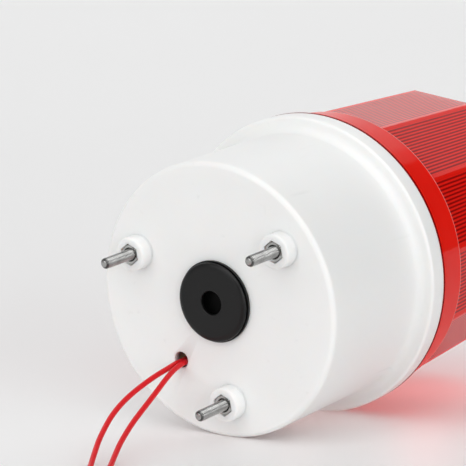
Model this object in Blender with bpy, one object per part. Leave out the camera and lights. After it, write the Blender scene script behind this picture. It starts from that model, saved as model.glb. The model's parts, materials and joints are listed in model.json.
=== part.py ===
"""Rotating warning beacon with a sounder in its base, lying on its side.

The beacon is modelled upright in its own frame, with its mounting face at
height zero, its studs below that face and its lens above it. A parent empty
then lays it down as it rests: on the edge of its mounting face and on the
flange of its base. The two supply leads lie on the floor in front of it.
All lengths are in metres.
"""

import math

import bmesh
import bpy
from mathutils import Matrix, Vector

# Clearances shared by many pieces
SEAT_GAP = 0.0003
RUNNING_FIT = 0.0002
OVERRUN = 0.0010
SINK = 0.0006

# How finely round pieces are divided
SHELL_STEPS = 48
DISC_STEPS = 24
CAN_STEPS = 20
PIN_STEPS = 10
SMALL_STEPS = 8
EDGE_STEPS = 2
BULB_STEPS = 6
CURVE_STEPS = 40
WIRE_SIDE_STEPS = 2
COIL_SIDE_STEPS = 1
SMOOTH_ANGLE = math.radians(32)

# Base housing
FACE_RADIUS = 0.0530
FACE_EDGE_ROUND = 0.0020
FACE_THICKNESS = 0.0030
BASE_HEIGHT = 0.0660
BASE_WALL = 0.0026
FLANGE_REACH = 0.0060
FLANGE_LAND = 0.0068
FLANGE_FILLET = 0.0035
FLANGE_CORNER = 0.0012
LIP_ROUND = 0.0006
SOCKET_DEPTH = 0.0050
RIM_WALL = 0.0021

# Mounting studs, their nuts and the bosses round them
STUD_COUNT = 3
STUD_ANGLE = math.radians(84)
STUD_INSET = 0.0116
STUD_RADIUS = 0.0020
STUD_REACH = 0.0208
STUD_TIP_CHAMFER = 0.0006
HEX_ACROSS_FLATS = 0.0070
HEX_EDGE_CHAMFER = 0.0004
HEAD_HEIGHT = 0.0028
NUT_HEIGHT = 0.0032
NUT_INSET = 0.0003
BOSS_RADIUS = 0.0066
BOSS_HEIGHT = 0.0055
BOSS_ROUND = 0.0010

# Lead hole
LEAD_HOLE_ANGLE = math.radians(126.5)
LEAD_HOLE_INSET = 0.0194
LEAD_HOLE_RADIUS = 0.00315

# Lens
LENS_FACETS = 12
LENS_WALL = 0.0018
COLLAR_GAP = 0.0005
COLLAR_STAND = 0.0170
COLLAR_EDGE_ROUND = 0.0005
BODY_HEIGHT = 0.0708
BODY_TAPER = 0.0034
LENS_TOP_THICKNESS = 0.0018
LENS_TOP_EDGE = 0.0012
NECK_DEPTH = 0.0095

# Bayonet closure between the lens and the base
LUG_COUNT = 3
LUG_ARC = math.radians(32)
LUG_STOP_ARC = math.radians(4)
LUG_ARC_STEPS = 5
LUG_REACH = 0.0016
LUG_FIT = 0.0004
LUG_HEIGHT = 0.0022
LUG_DROP = 0.0020

# Lens seal
SEAL_HEIGHT = 0.0016
SEAL_WIDTH = 0.0036

# Sounder in the middle of the mounting face
SOUNDER_BODY_RADIUS = 0.0132
SOUNDER_PROUD = 0.0032
SOUNDER_EDGE_ROUND = 0.0009
SOUNDER_FLANGE_STEP = 0.0005
SOUNDER_FLANGE_HEIGHT = 0.0009
SOUNDER_GROOVE_STEP = 0.0012
SOUNDER_RIM_STEP = 0.0008
SOUNDER_GROOVE_HEIGHT = 0.0005
SOUNDER_DEPTH = 0.0090
SOUNDER_WALL = 0.0014
SOUND_HOLE_RADIUS = 0.0046
DIAPHRAGM_THICKNESS = 0.0006
DIAPHRAGM_DEPTH = 0.0030
DIAPHRAGM_LEDGE = 0.0010
SOUNDER_BACK_THICKNESS = 0.0020
SOUNDER_PIN_RADIUS = 0.0006
SOUNDER_PIN_STICK_OUT = 0.0015
SOUNDER_PIN_SPACING = 0.0076
RING_NUT_WIDTH = 0.0036
RING_NUT_HEIGHT = 0.0040
RING_NUT_GRIPS = 12
RING_NUT_GRIP_DEPTH = 0.0008

# Screws
SCREW_HEAD_RADIUS = 0.0024
SCREW_HEAD_HEIGHT = 0.0014
SCREW_SHANK_RADIUS = 0.0012
SCREW_SHANK_LENGTH = 0.0060
SCREW_SLOT_WIDTH = 0.0006
SCREW_SLOT_DEPTH = 0.0006

# Circuit board and what it carries
BOARD_EDGE = 0.0053
BOARD_MOTOR_GAP = 0.0051
BOARD_THICKNESS = 0.0016
BOARD_STAND = 0.0020
BOARD_POST_RADIUS = 0.0032
BOARD_POST_INSET = 0.0096
BOARD_POST_ANGLES = (math.radians(195), math.radians(270), math.radians(345))
TERMINAL_SIZE = Vector((0.0102, 0.0080, 0.0090))
TERMINAL_PLACE = Vector((-0.0190, 0.0065, 0.0))
TERMINAL_HOLE_RADIUS = 0.0016
TERMINAL_HOLE_LEVEL = 0.0034
TERMINAL_POLES = 2
CAPACITOR_RADIUS = 0.0050
CAPACITOR_HEIGHT = 0.0140
CAPACITOR_EDGE_ROUND = 0.0008
CAPACITOR_PLACE = Vector((0.0150, 0.0030, 0.0))
RELAY_SIZE = Vector((0.0150, 0.0110, 0.0120))
RELAY_PLACE = Vector((-0.0110, -0.0130, 0.0))
RELAY_EDGE_ROUND = 0.0007
REGULATOR_SIZE = Vector((0.0100, 0.0045, 0.0150))
REGULATOR_PLACE = Vector((0.0110, -0.0150, 0.0))
REGULATOR_TAB_THICKNESS = 0.0013
REGULATOR_TAB_HEIGHT = 0.0200
REGULATOR_HOLE_RADIUS = 0.0018

# Deck across the middle of the base, on three pillars
DECK_EDGE_GAP = 0.0049
DECK_THICKNESS = 0.0020
DECK_HOLE_LEDGE = 0.0020
PILLAR_COUNT = 3
PILLAR_ANGLE = math.radians(24)
PILLAR_INSET = 0.0045
PILLAR_RADIUS = 0.0040

# Gear pair
GEAR_MODULE = 0.00115
GEAR_TEETH = 36
PINION_TEETH = 12
PRESSURE_ANGLE = math.radians(20)
ADDENDUM_SHARE = 0.80
DEDENDUM_SHARE = 1.04
TOOTH_BACKLASH = 0.00025
FLANK_POINTS = 2
GEAR_WIDTH = 0.0050
GEAR_STAND = 0.0045

# Geared motor hung below the deck, with its shaft through the deck
MOTOR_ANGLE = math.radians(90)
MOTOR_FLOOR_GAP = 0.0069
GEARHEAD_RADIUS = 0.0120
GEARHEAD_HEIGHT = 0.0100
MOTOR_RADIUS = 0.0105
MOTOR_LENGTH = 0.0240
MOTOR_EDGE_ROUND = 0.0012
MOTOR_BOSS_RADIUS = 0.0035
MOTOR_BOSS_HEIGHT = 0.0015
MOTOR_FLAT_SHARE = 0.80
SHAFT_RADIUS = 0.0015
SHAFT_FLAT_SHARE = 0.70
SHAFT_SINK = 0.0060
MOTOR_SCREW_CIRCLE_RADIUS = 0.0085

# Lamp holder, which is also the spindle that the reflector turns on
SPINDLE_FIT = 0.0004
SPINDLE_WALL = 0.0015
SPINDLE_HEIGHT = 0.0220
SPINDLE_FLANGE_EDGE = 0.0032
SPINDLE_FLANGE_HEIGHT = 0.0020
SPINDLE_SCREW_INSET = 0.0034
SPINDLE_HUB_STEP = 0.0019
CLIP_GROOVE_DEPTH = 0.0006
CLIP_HEIGHT = 0.0008
CLIP_WIDTH = 0.0019
CLIP_GAP = 0.0050

# Lamp
LAMP_CONTACT_HEIGHT = 0.0040
LAMP_CONTACT_BUTTON_RADIUS = 0.0020
LAMP_CAP_RADIUS = 0.0076
LAMP_CAP_HEIGHT = 0.0170
LAMP_PIN_RADIUS = 0.0010
GLASS_SWELL = 0.0016
GLASS_NECK_STEP = 0.0010
GLASS_NECK_HEIGHT = 0.0060
GLASS_WALL = 0.0007
FILAMENT_POST_RADIUS = 0.0004
FILAMENT_SPREAD = 0.0030
FILAMENT_BAR_RADIUS = 0.0005
STEM_RADIUS = 0.0030

# Rotor: bush, gear, bracket and reflector
BUSH_WALL = 0.0021
BUSH_HEIGHT = 0.0095
REFLECTOR_FOCUS = 0.0160
REFLECTOR_RADIUS = 0.0340
REFLECTOR_WALL = 0.0012
REFLECTOR_RINGS = 6
REFLECTOR_CUT_BELOW = 0.0180
REFLECTOR_BOSS_RADIUS = 0.0034
REFLECTOR_BOSS_LENGTH = 0.0035
BRACKET_THICKNESS = 0.0012
BRACKET_WIDTH = 0.0160
BRACKET_BUSH_GAP = 0.0024
BRACKET_HOLE_RADIUS = 0.0016

# Supply leads
LEAD_RADIUS = 0.00105
LEAD_SIDE_OFFSET = 0.0012
LEAD_SHIFT_IN_HOLE = 0.00025
LEAD_DROP_IN_HOLE = 0.0010
LEAD_STRAIGHT = 0.0016
FLOOR_GAP = 0.00003
LEAD_POINT_SPACING = 0.0050
INNER_LEAD_POINT_SPACING = 0.0032
TIE_WIDTH = 0.0025
TIE_THICKNESS = 0.0010
TIE_LEVEL = 0.0090
COIL_RADIUS = 0.0106
COIL_PITCH = 0.00265
COIL_TURNS = 3
COIL_POINTS_PER_TURN = 24
COIL_TAIL = 0.0160
COIL_TAIL_STEPS = 6
COIL_FALL_SHARE = 0.75
STRIPPED_RADIUS = 0.0006
STRIPPED_LENGTH = 0.0070

# Small wires inside
HOOKUP_RADIUS = 0.0006
HOOKUP_POINT_SPACING = 0.0030
HOOKUP_ARCH = 0.0055
HOOKUP_DIP = 0.0040
MOTOR_WIRE_SPREAD = 0.0100
MOTOR_WIRE_PAD = 0.0090
MOTOR_TAB_RADIUS = 0.0070
LAMP_WIRE_SPREAD = 0.0042
LAMP_WIRE_PAD = 0.0040

# Routes of the leads over the floor, chosen by eye, from the lead hole on
LEFT_ROUTE = (
    (-0.0191, -0.0726, 0.0253),
    (-0.0190, -0.0802, 0.0237),
    (-0.0188, -0.0878, 0.0217),
    (-0.0184, -0.0953, 0.0195),
    (-0.0176, -0.1026, 0.0170),
    (-0.0162, -0.1098, 0.0141),
    (-0.0141, -0.1166, 0.0110),
    (-0.0115, -0.1233, 0.0079),
    (-0.0083, -0.1298, 0.0049),
    (-0.0047, -0.1364, 0.0023),
    (-0.0008, -0.1431, 0.00108),
    (0.0032, -0.1500, 0.00108),
    (0.0073, -0.1570, 0.00108),
    (0.0098, -0.1613, 0.00108),
)
RIGHT_ROUTE = (
    (-0.0163, -0.0721, 0.0251),
    (-0.0150, -0.0790, 0.0227),
    (-0.0135, -0.0858, 0.0200),
    (-0.0121, -0.0926, 0.0173),
    (-0.0107, -0.0994, 0.0146),
    (-0.0092, -0.1061, 0.0120),
    (-0.0072, -0.1128, 0.0094),
    (-0.0049, -0.1194, 0.0068),
    (-0.0021, -0.1258, 0.0043),
    (0.0010, -0.1323, 0.0021),
    (0.0042, -0.1389, 0.00108),
    (0.0075, -0.1456, 0.00108),
    (0.0111, -0.1521, 0.00108),
    (0.0133, -0.1562, 0.00108),
)

# Worked out from the sizes above
BORE_RADIUS = FACE_RADIUS - BASE_WALL
FLANGE_RADIUS = FACE_RADIUS + FLANGE_REACH
SOCKET_FLOOR = BASE_HEIGHT - SOCKET_DEPTH
SOCKET_RADIUS = FLANGE_RADIUS - RIM_WALL
COLLAR_RADIUS = SOCKET_RADIUS - COLLAR_GAP
STUD_CIRCLE_RADIUS = BORE_RADIUS - STUD_INSET
LEAD_HOLE_CIRCLE_RADIUS = BORE_RADIUS - LEAD_HOLE_INSET
SOUNDER_GROOVE_RADIUS = SOUNDER_BODY_RADIUS + SOUNDER_GROOVE_STEP
SOUNDER_RADIUS = SOUNDER_GROOVE_RADIUS + SOUNDER_RIM_STEP
SOUNDER_FLANGE_RADIUS = SOUNDER_RADIUS + SOUNDER_FLANGE_STEP
RING_NUT_RADIUS = SOUNDER_BODY_RADIUS + RING_NUT_WIDTH
COLLAR_BOTTOM = SOCKET_FLOOR + SEAL_HEIGHT + 2 * SEAT_GAP
COLLAR_TOP = BASE_HEIGHT + COLLAR_STAND
LENS_TOP = COLLAR_TOP + BODY_HEIGHT
NECK_RADIUS = BORE_RADIUS - LUG_REACH - LUG_FIT
NECK_BOTTOM = SOCKET_FLOOR - NECK_DEPTH
TAB_HIGH = SOCKET_FLOOR - LUG_DROP
TAB_LOW = TAB_HIGH - LUG_HEIGHT
LUG_HIGH = TAB_LOW - SEAT_GAP
LUG_LOW = LUG_HIGH - LUG_HEIGHT
HEX_CORNER_RADIUS = HEX_ACROSS_FLATS / 2 / math.cos(math.pi / 6)
RECESS_RADIUS = HEX_CORNER_RADIUS + SEAT_GAP
NUT_LOW = NUT_INSET - BOSS_HEIGHT
NUT_HIGH = NUT_LOW + NUT_HEIGHT
STUD_HOLE_RADIUS = STUD_RADIUS + SEAT_GAP
SCREW_PILOT_RADIUS = SCREW_SHANK_RADIUS + SEAT_GAP
DECK_RADIUS = BORE_RADIUS - DECK_EDGE_GAP
PILLAR_CIRCLE_RADIUS = DECK_RADIUS - PILLAR_INSET
SHAFT_OFFSET = GEAR_MODULE * (GEAR_TEETH + PINION_TEETH) / 2
BOARD_LEVEL = SOUNDER_DEPTH + BOARD_STAND
BOARD_TOP = BOARD_LEVEL + BOARD_THICKNESS
BOARD_POST_CIRCLE_RADIUS = STUD_CIRCLE_RADIUS - BOARD_POST_INSET
BOARD_RADIUS = BOARD_POST_CIRCLE_RADIUS + BOARD_EDGE
BOARD_CHORD = SHAFT_OFFSET - MOTOR_RADIUS - BOARD_MOTOR_GAP
MOTOR_BOTTOM = FACE_THICKNESS + MOTOR_FLOOR_GAP + MOTOR_BOSS_HEIGHT
MOTOR_TOP = MOTOR_BOTTOM + MOTOR_LENGTH
GEARHEAD_BOTTOM = MOTOR_TOP + SEAT_GAP
GEARHEAD_TOP = GEARHEAD_BOTTOM + GEARHEAD_HEIGHT
DECK_LEVEL = GEARHEAD_TOP + SEAT_GAP
DECK_TOP = DECK_LEVEL + DECK_THICKNESS
GEAR_LEVEL = DECK_TOP + GEAR_STAND
SPINDLE_BORE_RADIUS = LAMP_CAP_RADIUS + SPINDLE_FIT
SPINDLE_RADIUS = SPINDLE_BORE_RADIUS + SPINDLE_WALL
SPINDLE_HUB_RADIUS = SPINDLE_RADIUS + SPINDLE_HUB_STEP
SPINDLE_SCREW_CIRCLE_RADIUS = SPINDLE_HUB_RADIUS + SPINDLE_SCREW_INSET
SPINDLE_FLANGE_RADIUS = SPINDLE_SCREW_CIRCLE_RADIUS + SPINDLE_FLANGE_EDGE
DECK_HOLE_RADIUS = SPINDLE_BORE_RADIUS - DECK_HOLE_LEDGE
CLIP_RADIUS = SPINDLE_RADIUS + CLIP_WIDTH
BUSH_RADIUS = SPINDLE_RADIUS + BUSH_WALL
BRACKET_FOOT_INNER = BUSH_RADIUS + BRACKET_BUSH_GAP
GLASS_RADIUS = LAMP_CAP_RADIUS + GLASS_SWELL
GLASS_NECK_RADIUS = LAMP_CAP_RADIUS - GLASS_NECK_STEP
SPINDLE_BASE = DECK_TOP + SEAT_GAP
SPINDLE_TOP = SPINDLE_BASE + SPINDLE_HEIGHT
BUSH_BASE = GEAR_LEVEL - SEAT_GAP
BUSH_TOP = BUSH_BASE + BUSH_HEIGHT
CLIP_LEVEL = BUSH_TOP + SEAT_GAP
FLANGE_TOP = SPINDLE_BASE + SPINDLE_FLANGE_HEIGHT
CAP_BASE = FLANGE_TOP + LAMP_CONTACT_HEIGHT + SEAT_GAP
CAP_TOP = CAP_BASE + LAMP_CAP_HEIGHT
GLASS_BASE = CAP_TOP + SEAT_GAP
LAMP_CENTRE = GLASS_BASE + GLASS_NECK_HEIGHT + GLASS_RADIUS
GEAR_TOP = GEAR_LEVEL + GEAR_WIDTH
BRACKET_BASE = GEAR_TOP + SEAT_GAP
BRACKET_FACE = REFLECTOR_FOCUS + REFLECTOR_WALL + REFLECTOR_BOSS_LENGTH + SEAT_GAP

COLOURS = {
    "white_housing": ((0.86, 0.86, 0.85), 0.34, 0.0),
    "red_lens": ((0.62, 0.012, 0.010), 0.16, 0.0),
    "black_plastic": ((0.022, 0.022, 0.023), 0.42, 0.0),
    "zinc_steel": ((0.62, 0.62, 0.60), 0.28, 1.0),
    "seal_rubber": ((0.030, 0.030, 0.030), 0.75, 0.0),
    "lead_red": ((0.68, 0.020, 0.030), 0.30, 0.0),
    "board_green": ((0.020, 0.16, 0.055), 0.45, 0.0),
    "terminal_green": ((0.030, 0.26, 0.090), 0.45, 0.0),
    "brass": ((0.72, 0.52, 0.20), 0.28, 1.0),
    "motor_steel": ((0.52, 0.53, 0.54), 0.32, 1.0),
    "mirror_chrome": ((0.86, 0.87, 0.88), 0.06, 1.0),
    "gear_nylon": ((0.78, 0.76, 0.70), 0.42, 0.0),
    "lamp_glass": ((0.92, 0.94, 0.95), 0.05, 0.0),
    "tinned_copper": ((0.74, 0.72, 0.68), 0.30, 1.0),
    "tie_nylon": ((0.80, 0.80, 0.77), 0.50, 0.0),
}


def clear_scene():
    """Remove every object of the opened scene."""
    for obj in list(bpy.data.objects):
        bpy.data.objects.remove(obj, do_unlink=True)


def material(name):
    """The named finish as a Principled material, made once."""
    found = bpy.data.materials.get(name)
    if found:
        return found
    colour, roughness, metallic = COLOURS[name]
    made = bpy.data.materials.new(name)
    made.use_nodes = True
    shader = made.node_tree.nodes["Principled BSDF"]
    shader.inputs["Base Color"].default_value = (*colour, 1.0)
    shader.inputs["Roughness"].default_value = roughness
    shader.inputs["Metallic"].default_value = metallic
    return made


def polar(radius, angle, level=0.0):
    """A point at a radius and an angle round the beacon's axis."""
    return Vector((radius * math.cos(angle), radius * math.sin(angle), level))


def angles(count, start=0.0):
    """Evenly spread angles round a circle."""
    return [start + 2 * math.pi * step / count for step in range(count)]


def mesh_object(name, bm, finish):
    """Turn a bmesh into a smooth-shaded object with sharp edges kept."""
    bmesh.ops.remove_doubles(bm, verts=bm.verts, dist=SEAT_GAP / 100)
    bmesh.ops.recalc_face_normals(bm, faces=bm.faces)
    mesh = bpy.data.meshes.new(name)
    bm.to_mesh(mesh)
    bm.free()
    mesh.materials.append(material(finish))
    mesh.shade_smooth()
    mesh.set_sharp_from_angle(angle=SMOOTH_ANGLE)
    obj = bpy.data.objects.new(name, mesh)
    bpy.context.scene.collection.objects.link(obj)
    return obj


def apply_modifiers(obj):
    """Replace an object's mesh by its evaluated mesh."""
    bpy.context.view_layer.update()
    depsgraph = bpy.context.evaluated_depsgraph_get()
    mesh = bpy.data.meshes.new_from_object(obj.evaluated_get(depsgraph))
    bm = bmesh.new()
    bm.from_mesh(mesh)
    bmesh.ops.dissolve_degenerate(bm, edges=bm.edges, dist=SEAT_GAP / 100)
    bm.to_mesh(mesh)
    bm.free()
    obj.modifiers.clear()
    obj.data = mesh
    mesh.shade_smooth()
    mesh.set_sharp_from_angle(angle=SMOOTH_ANGLE)


def combine(target, tools, operation):
    """Apply exact Booleans with all the tools, and remove the tools."""
    for tool in tools:
        boolean = target.modifiers.new("boolean", "BOOLEAN")
        boolean.operation = operation
        boolean.solver = "EXACT"
        boolean.object = tool
    apply_modifiers(target)
    for tool in tools:
        bpy.data.objects.remove(tool, do_unlink=True)
    return target


def add(target, *tools):
    """Fuse tools into the target."""
    return combine(target, tools, "UNION")


def cut(target, *tools):
    """Cut tools out of the target."""
    return combine(target, tools, "DIFFERENCE")


def quarter(centre, radius, start, end, steps=EDGE_STEPS):
    """Points of an arc in an outline, from one angle to another."""
    points = []
    for step in range(steps + 1):
        angle = math.radians(start + (end - start) * step / steps)
        points.append((centre[0] + radius * math.cos(angle), centre[1] + radius * math.sin(angle)))
    return points


def turned(name, outline, finish, steps=DISC_STEPS, start=0.0, place=Vector()):
    """Spin a closed outline of radius and height pairs about the axis."""
    bm = bmesh.new()
    verts = [bm.verts.new(polar(radius, start, level)) for radius, level in outline]
    edges = [bm.edges.new((verts[i - 1], verts[i])) for i in range(len(verts))]
    bmesh.ops.spin(
        bm,
        geom=verts + edges,
        cent=(0, 0, 0),
        axis=(0, 0, 1),
        angle=2 * math.pi,
        steps=steps,
        use_merge=True,
    )
    bmesh.ops.remove_doubles(bm, verts=bm.verts, dist=SEAT_GAP / 100)
    loose = [edge for edge in bm.edges if not edge.link_faces]
    bmesh.ops.delete(bm, geom=loose, context="EDGES")
    obj = mesh_object(name, bm, finish)
    obj.location = place
    return obj


def rod(name, radius, low, high, finish="zinc_steel", steps=PIN_STEPS, place=Vector(), start=0.0):
    """A plain round bar along the axis, at a place in plan."""
    bm = bmesh.new()
    ring = [bm.verts.new(polar(radius, angle, low) + place) for angle in angles(steps, start)]
    extrude_face(bm, bm.faces.new(ring), Vector((0, 0, high - low)))
    return mesh_object(name, bm, finish)


def extrude_face(bm, face, move):
    """Extrude one face into a closed prism."""
    result = bmesh.ops.extrude_face_region(bm, geom=[face], use_keep_orig=True)
    moved = [item for item in result["geom"] if isinstance(item, bmesh.types.BMVert)]
    bmesh.ops.translate(bm, verts=moved, vec=move)


def prism(name, outline, low, high, finish, place=Vector()):
    """Extrude a flat outline of x and y pairs along the axis."""
    bm = bmesh.new()
    ring = [bm.verts.new(Vector((x, y, low)) + place) for x, y in outline]
    extrude_face(bm, bm.faces.new(ring), Vector((0, 0, high - low)))
    return mesh_object(name, bm, finish)


def box(name, low, high, finish):
    """A rectangular block between two corners."""
    outline = ((low[0], low[1]), (high[0], low[1]), (high[0], high[1]), (low[0], high[1]))
    return prism(name, outline, low[2], high[2], finish)


def soften(obj, width, segments=2):
    """Bevel the sharp edges of a piece."""
    bevel = obj.modifiers.new("bevel", "BEVEL")
    bevel.width = width
    bevel.segments = segments
    bevel.limit_method = "ANGLE"
    apply_modifiers(obj)
    return obj


def hexagon(across_flats, turn=0.0):
    """Corners of a hexagon."""
    corner = across_flats / 2 / math.cos(math.pi / 6)
    return [(corner * math.cos(angle), corner * math.sin(angle)) for angle in angles(6, turn)]


def ease(share):
    """A share from zero to one, eased at both ends."""
    share = min(1.0, max(0.0, share))
    return share * share * (3 - 2 * share)


def hermite(first, leaving, arriving, second, share):
    """A point between two others, on a cubic with given directions at its ends."""
    rest = 1 - share
    place = first.lerp(second, ease(share))
    return place + leaving * share * rest**2 - arriving * share**2 * rest


def smooth_curve(points, spacing):
    """Points read at an even spacing from a Catmull-Rom curve through a route."""
    route = [Vector(point) for point in points]
    ends = [2 * route[0] - route[1]] + route + [2 * route[-1] - route[-2]]
    fine = [route[0]]
    for before, first, second, after in zip(ends, ends[1:], ends[2:], ends[3:]):
        knots = (first, (second - before) / 2, (after - first) / 2, second)
        for step in range(CURVE_STEPS):
            fine.append(hermite(*knots, (step + 1) / CURVE_STEPS))
    return resample(fine, spacing)


def path_length(points):
    """Length along a run of points."""
    return sum((b - a).length for a, b in zip(points, points[1:]))


def resample(points, spacing):
    """The same run of points at an even spacing, with both ends kept."""
    total = path_length(points)
    count = max(3, round(total / spacing))
    wanted = [total * step / count for step in range(1, count)]
    result = [points[0]]
    walked = 0.0
    for first, second in zip(points, points[1:]):
        length = (second - first).length
        while wanted and walked + length >= wanted[0]:
            result.append(first.lerp(second, (wanted.pop(0) - walked) / length))
        walked += length
    result.append(points[-1])
    return result


def wire(name, runs, radius, finish, side_steps=WIRE_SIDE_STEPS):
    """A round wire along each run of points, as a bevelled curve with caps."""
    curve = bpy.data.curves.new(name, "CURVE")
    curve.dimensions = "3D"
    curve.bevel_depth = radius
    curve.bevel_resolution = side_steps
    curve.use_fill_caps = True
    curve.materials.append(material(finish))
    for run in runs:
        spline = curve.splines.new("POLY")
        spline.points.add(len(run) - 1)
        for point, place in zip(spline.points, run):
            point.co = (*place, 1.0)
    obj = bpy.data.objects.new(name, curve)
    bpy.context.scene.collection.objects.link(obj)
    return obj


def base_outline():
    """Half section of the base shell: radius and height pairs."""
    wall_end = BASE_HEIGHT - FLANGE_LAND - FLANGE_CORNER - FLANGE_FILLET
    fillet_centre = (FACE_RADIUS + FLANGE_FILLET, wall_end)
    corner_centre = (FLANGE_RADIUS - FLANGE_CORNER, BASE_HEIGHT - FLANGE_LAND)
    sounder_hole = SOUNDER_BODY_RADIUS + SEAT_GAP
    return (
        [(sounder_hole, 0.0)]
        + quarter((FACE_RADIUS - FACE_EDGE_ROUND, FACE_EDGE_ROUND), FACE_EDGE_ROUND, -90, 0)
        + quarter(fillet_centre, FLANGE_FILLET, 180, 90)
        + quarter(corner_centre, FLANGE_CORNER, -90, 0)
        + quarter((FLANGE_RADIUS - LIP_ROUND, BASE_HEIGHT - LIP_ROUND), LIP_ROUND, 0, 90, 1)
        + [
            (SOCKET_RADIUS, BASE_HEIGHT),
            (SOCKET_RADIUS, SOCKET_FLOOR),
            (BORE_RADIUS, SOCKET_FLOOR),
            (BORE_RADIUS, FACE_THICKNESS),
            (sounder_hole, FACE_THICKNESS),
        ]
    )


def arc_block(name, inner, outer, low, high, start, sweep, finish):
    """A block that follows part of a ring, from a start angle over a sweep."""
    bm = bmesh.new()
    sections = []
    for step in range(LUG_ARC_STEPS + 1):
        angle = start + sweep * step / LUG_ARC_STEPS
        corners = ((inner, low), (outer, low), (outer, high), (inner, high))
        sections.append([bm.verts.new(polar(radius, angle, level)) for radius, level in corners])
    for first, second in zip(sections, sections[1:]):
        for i in range(4):
            bm.faces.new((first[i - 1], first[i], second[i], second[i - 1]))
    bm.faces.new(sections[0])
    bm.faces.new(sections[-1])
    return mesh_object(name, bm, finish)


def stud_places():
    """Centres of the three studs on the mounting face."""
    return [polar(STUD_CIRCLE_RADIUS, angle) for angle in angles(STUD_COUNT, STUD_ANGLE)]


def board_post_places():
    """Centres of the posts below the circuit board."""
    return [polar(BOARD_POST_CIRCLE_RADIUS, angle) for angle in BOARD_POST_ANGLES]


def pillar_places():
    """Centres of the pillars below the deck."""
    return [polar(PILLAR_CIRCLE_RADIUS, angle) for angle in angles(PILLAR_COUNT, PILLAR_ANGLE)]


def base_housing():
    """White cup with bosses, pillars, posts, bayonet tabs and holes."""
    facet = math.pi / SHELL_STEPS
    shell = turned("base_housing", base_outline(), "white_housing", SHELL_STEPS, math.pi / 2 + facet)
    finish = "white_housing"
    joined = []
    for place in stud_places():
        edge = quarter((BOSS_RADIUS - BOSS_ROUND, BOSS_ROUND - BOSS_HEIGHT), BOSS_ROUND, -90, 0)
        outline = [(0.0, -BOSS_HEIGHT)] + edge + [(BOSS_RADIUS, OVERRUN), (0.0, OVERRUN)]
        joined.append(turned("boss", outline, finish, CAN_STEPS, 0.0, place))
    floor = FACE_THICKNESS - SINK
    for place in pillar_places():
        joined.append(rod("pillar", PILLAR_RADIUS, floor, DECK_LEVEL - SEAT_GAP, finish, PIN_STEPS, place))
    for place in board_post_places():
        top = BOARD_LEVEL - SEAT_GAP
        joined.append(rod("post", BOARD_POST_RADIUS, floor, top, finish, PIN_STEPS, place))
    for angle in angles(LUG_COUNT, STUD_ANGLE):
        inner = BORE_RADIUS - LUG_REACH
        outer = BORE_RADIUS + SINK
        stop = angle - LUG_ARC / 2 - SEAT_GAP / BORE_RADIUS - LUG_STOP_ARC
        sweep = angle + LUG_ARC / 2 - stop
        joined.append(arc_block("tab", inner, outer, TAB_LOW, TAB_HIGH, stop, sweep, finish))
        joined.append(arc_block("stop", inner, outer, LUG_LOW, TAB_LOW + SINK, stop, LUG_STOP_ARC, finish))
    add(shell, *joined)
    holes = []
    for place in stud_places():
        low = -BOSS_HEIGHT - OVERRUN
        holes.append(rod("hole", STUD_HOLE_RADIUS, low, FACE_THICKNESS + OVERRUN, finish, PIN_STEPS, place))
        recess = hexagon(2 * RECESS_RADIUS * math.cos(math.pi / 6), STUD_ANGLE)
        holes.append(prism("recess", recess, low, NUT_HIGH + SEAT_GAP, finish, place))
    for place in pillar_places():
        low = DECK_LEVEL - SCREW_SHANK_LENGTH - OVERRUN
        holes.append(rod("pilot", SCREW_PILOT_RADIUS, low, DECK_LEVEL + OVERRUN, finish, PIN_STEPS, place))
    for place in board_post_places():
        low = BOARD_LEVEL - SCREW_SHANK_LENGTH - OVERRUN
        holes.append(rod("pilot", SCREW_PILOT_RADIUS, low, BOARD_LEVEL + OVERRUN, finish, PIN_STEPS, place))
    place = polar(LEAD_HOLE_CIRCLE_RADIUS, LEAD_HOLE_ANGLE)
    holes.append(rod("lead", LEAD_HOLE_RADIUS, -OVERRUN, FACE_THICKNESS + OVERRUN, finish, DISC_STEPS, place))
    return cut(shell, *holes)


def mounting_studs():
    """Hex bolts through the mounting face and the nuts that lock them."""
    pieces = []
    for number, place in enumerate(stud_places(), start=1):
        tip = -STUD_REACH
        outline = (
            (0.0, tip),
            (STUD_RADIUS - STUD_TIP_CHAMFER, tip),
            (STUD_RADIUS, tip + STUD_TIP_CHAMFER),
            (STUD_RADIUS, FACE_THICKNESS + SEAT_GAP + SINK),
            (0.0, FACE_THICKNESS + SEAT_GAP + SINK),
        )
        stud = turned(f"mounting_stud_{number}", outline, "zinc_steel", PIN_STEPS)
        low = FACE_THICKNESS + SEAT_GAP
        head = prism("head", hexagon(HEX_ACROSS_FLATS), low, low + HEAD_HEIGHT, "zinc_steel")
        add(stud, soften(head, HEX_EDGE_CHAMFER, 1))
        stud.location = place
        nut = prism(f"stud_nut_{number}", hexagon(HEX_ACROSS_FLATS, STUD_ANGLE), NUT_LOW, NUT_HIGH, "zinc_steel")
        soften(nut, HEX_EDGE_CHAMFER, 1)
        cut(nut, rod("bore", STUD_HOLE_RADIUS, NUT_LOW - OVERRUN, NUT_HIGH + OVERRUN))
        nut.location = place
        pieces += [stud, nut]
    return pieces


def sounder_pin_places():
    """Centres of the two pins that join the sounder to the circuit board."""
    half = SOUNDER_PIN_SPACING / 2
    return [Vector((-half, 0, 0)), Vector((half, 0, 0))]


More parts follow.
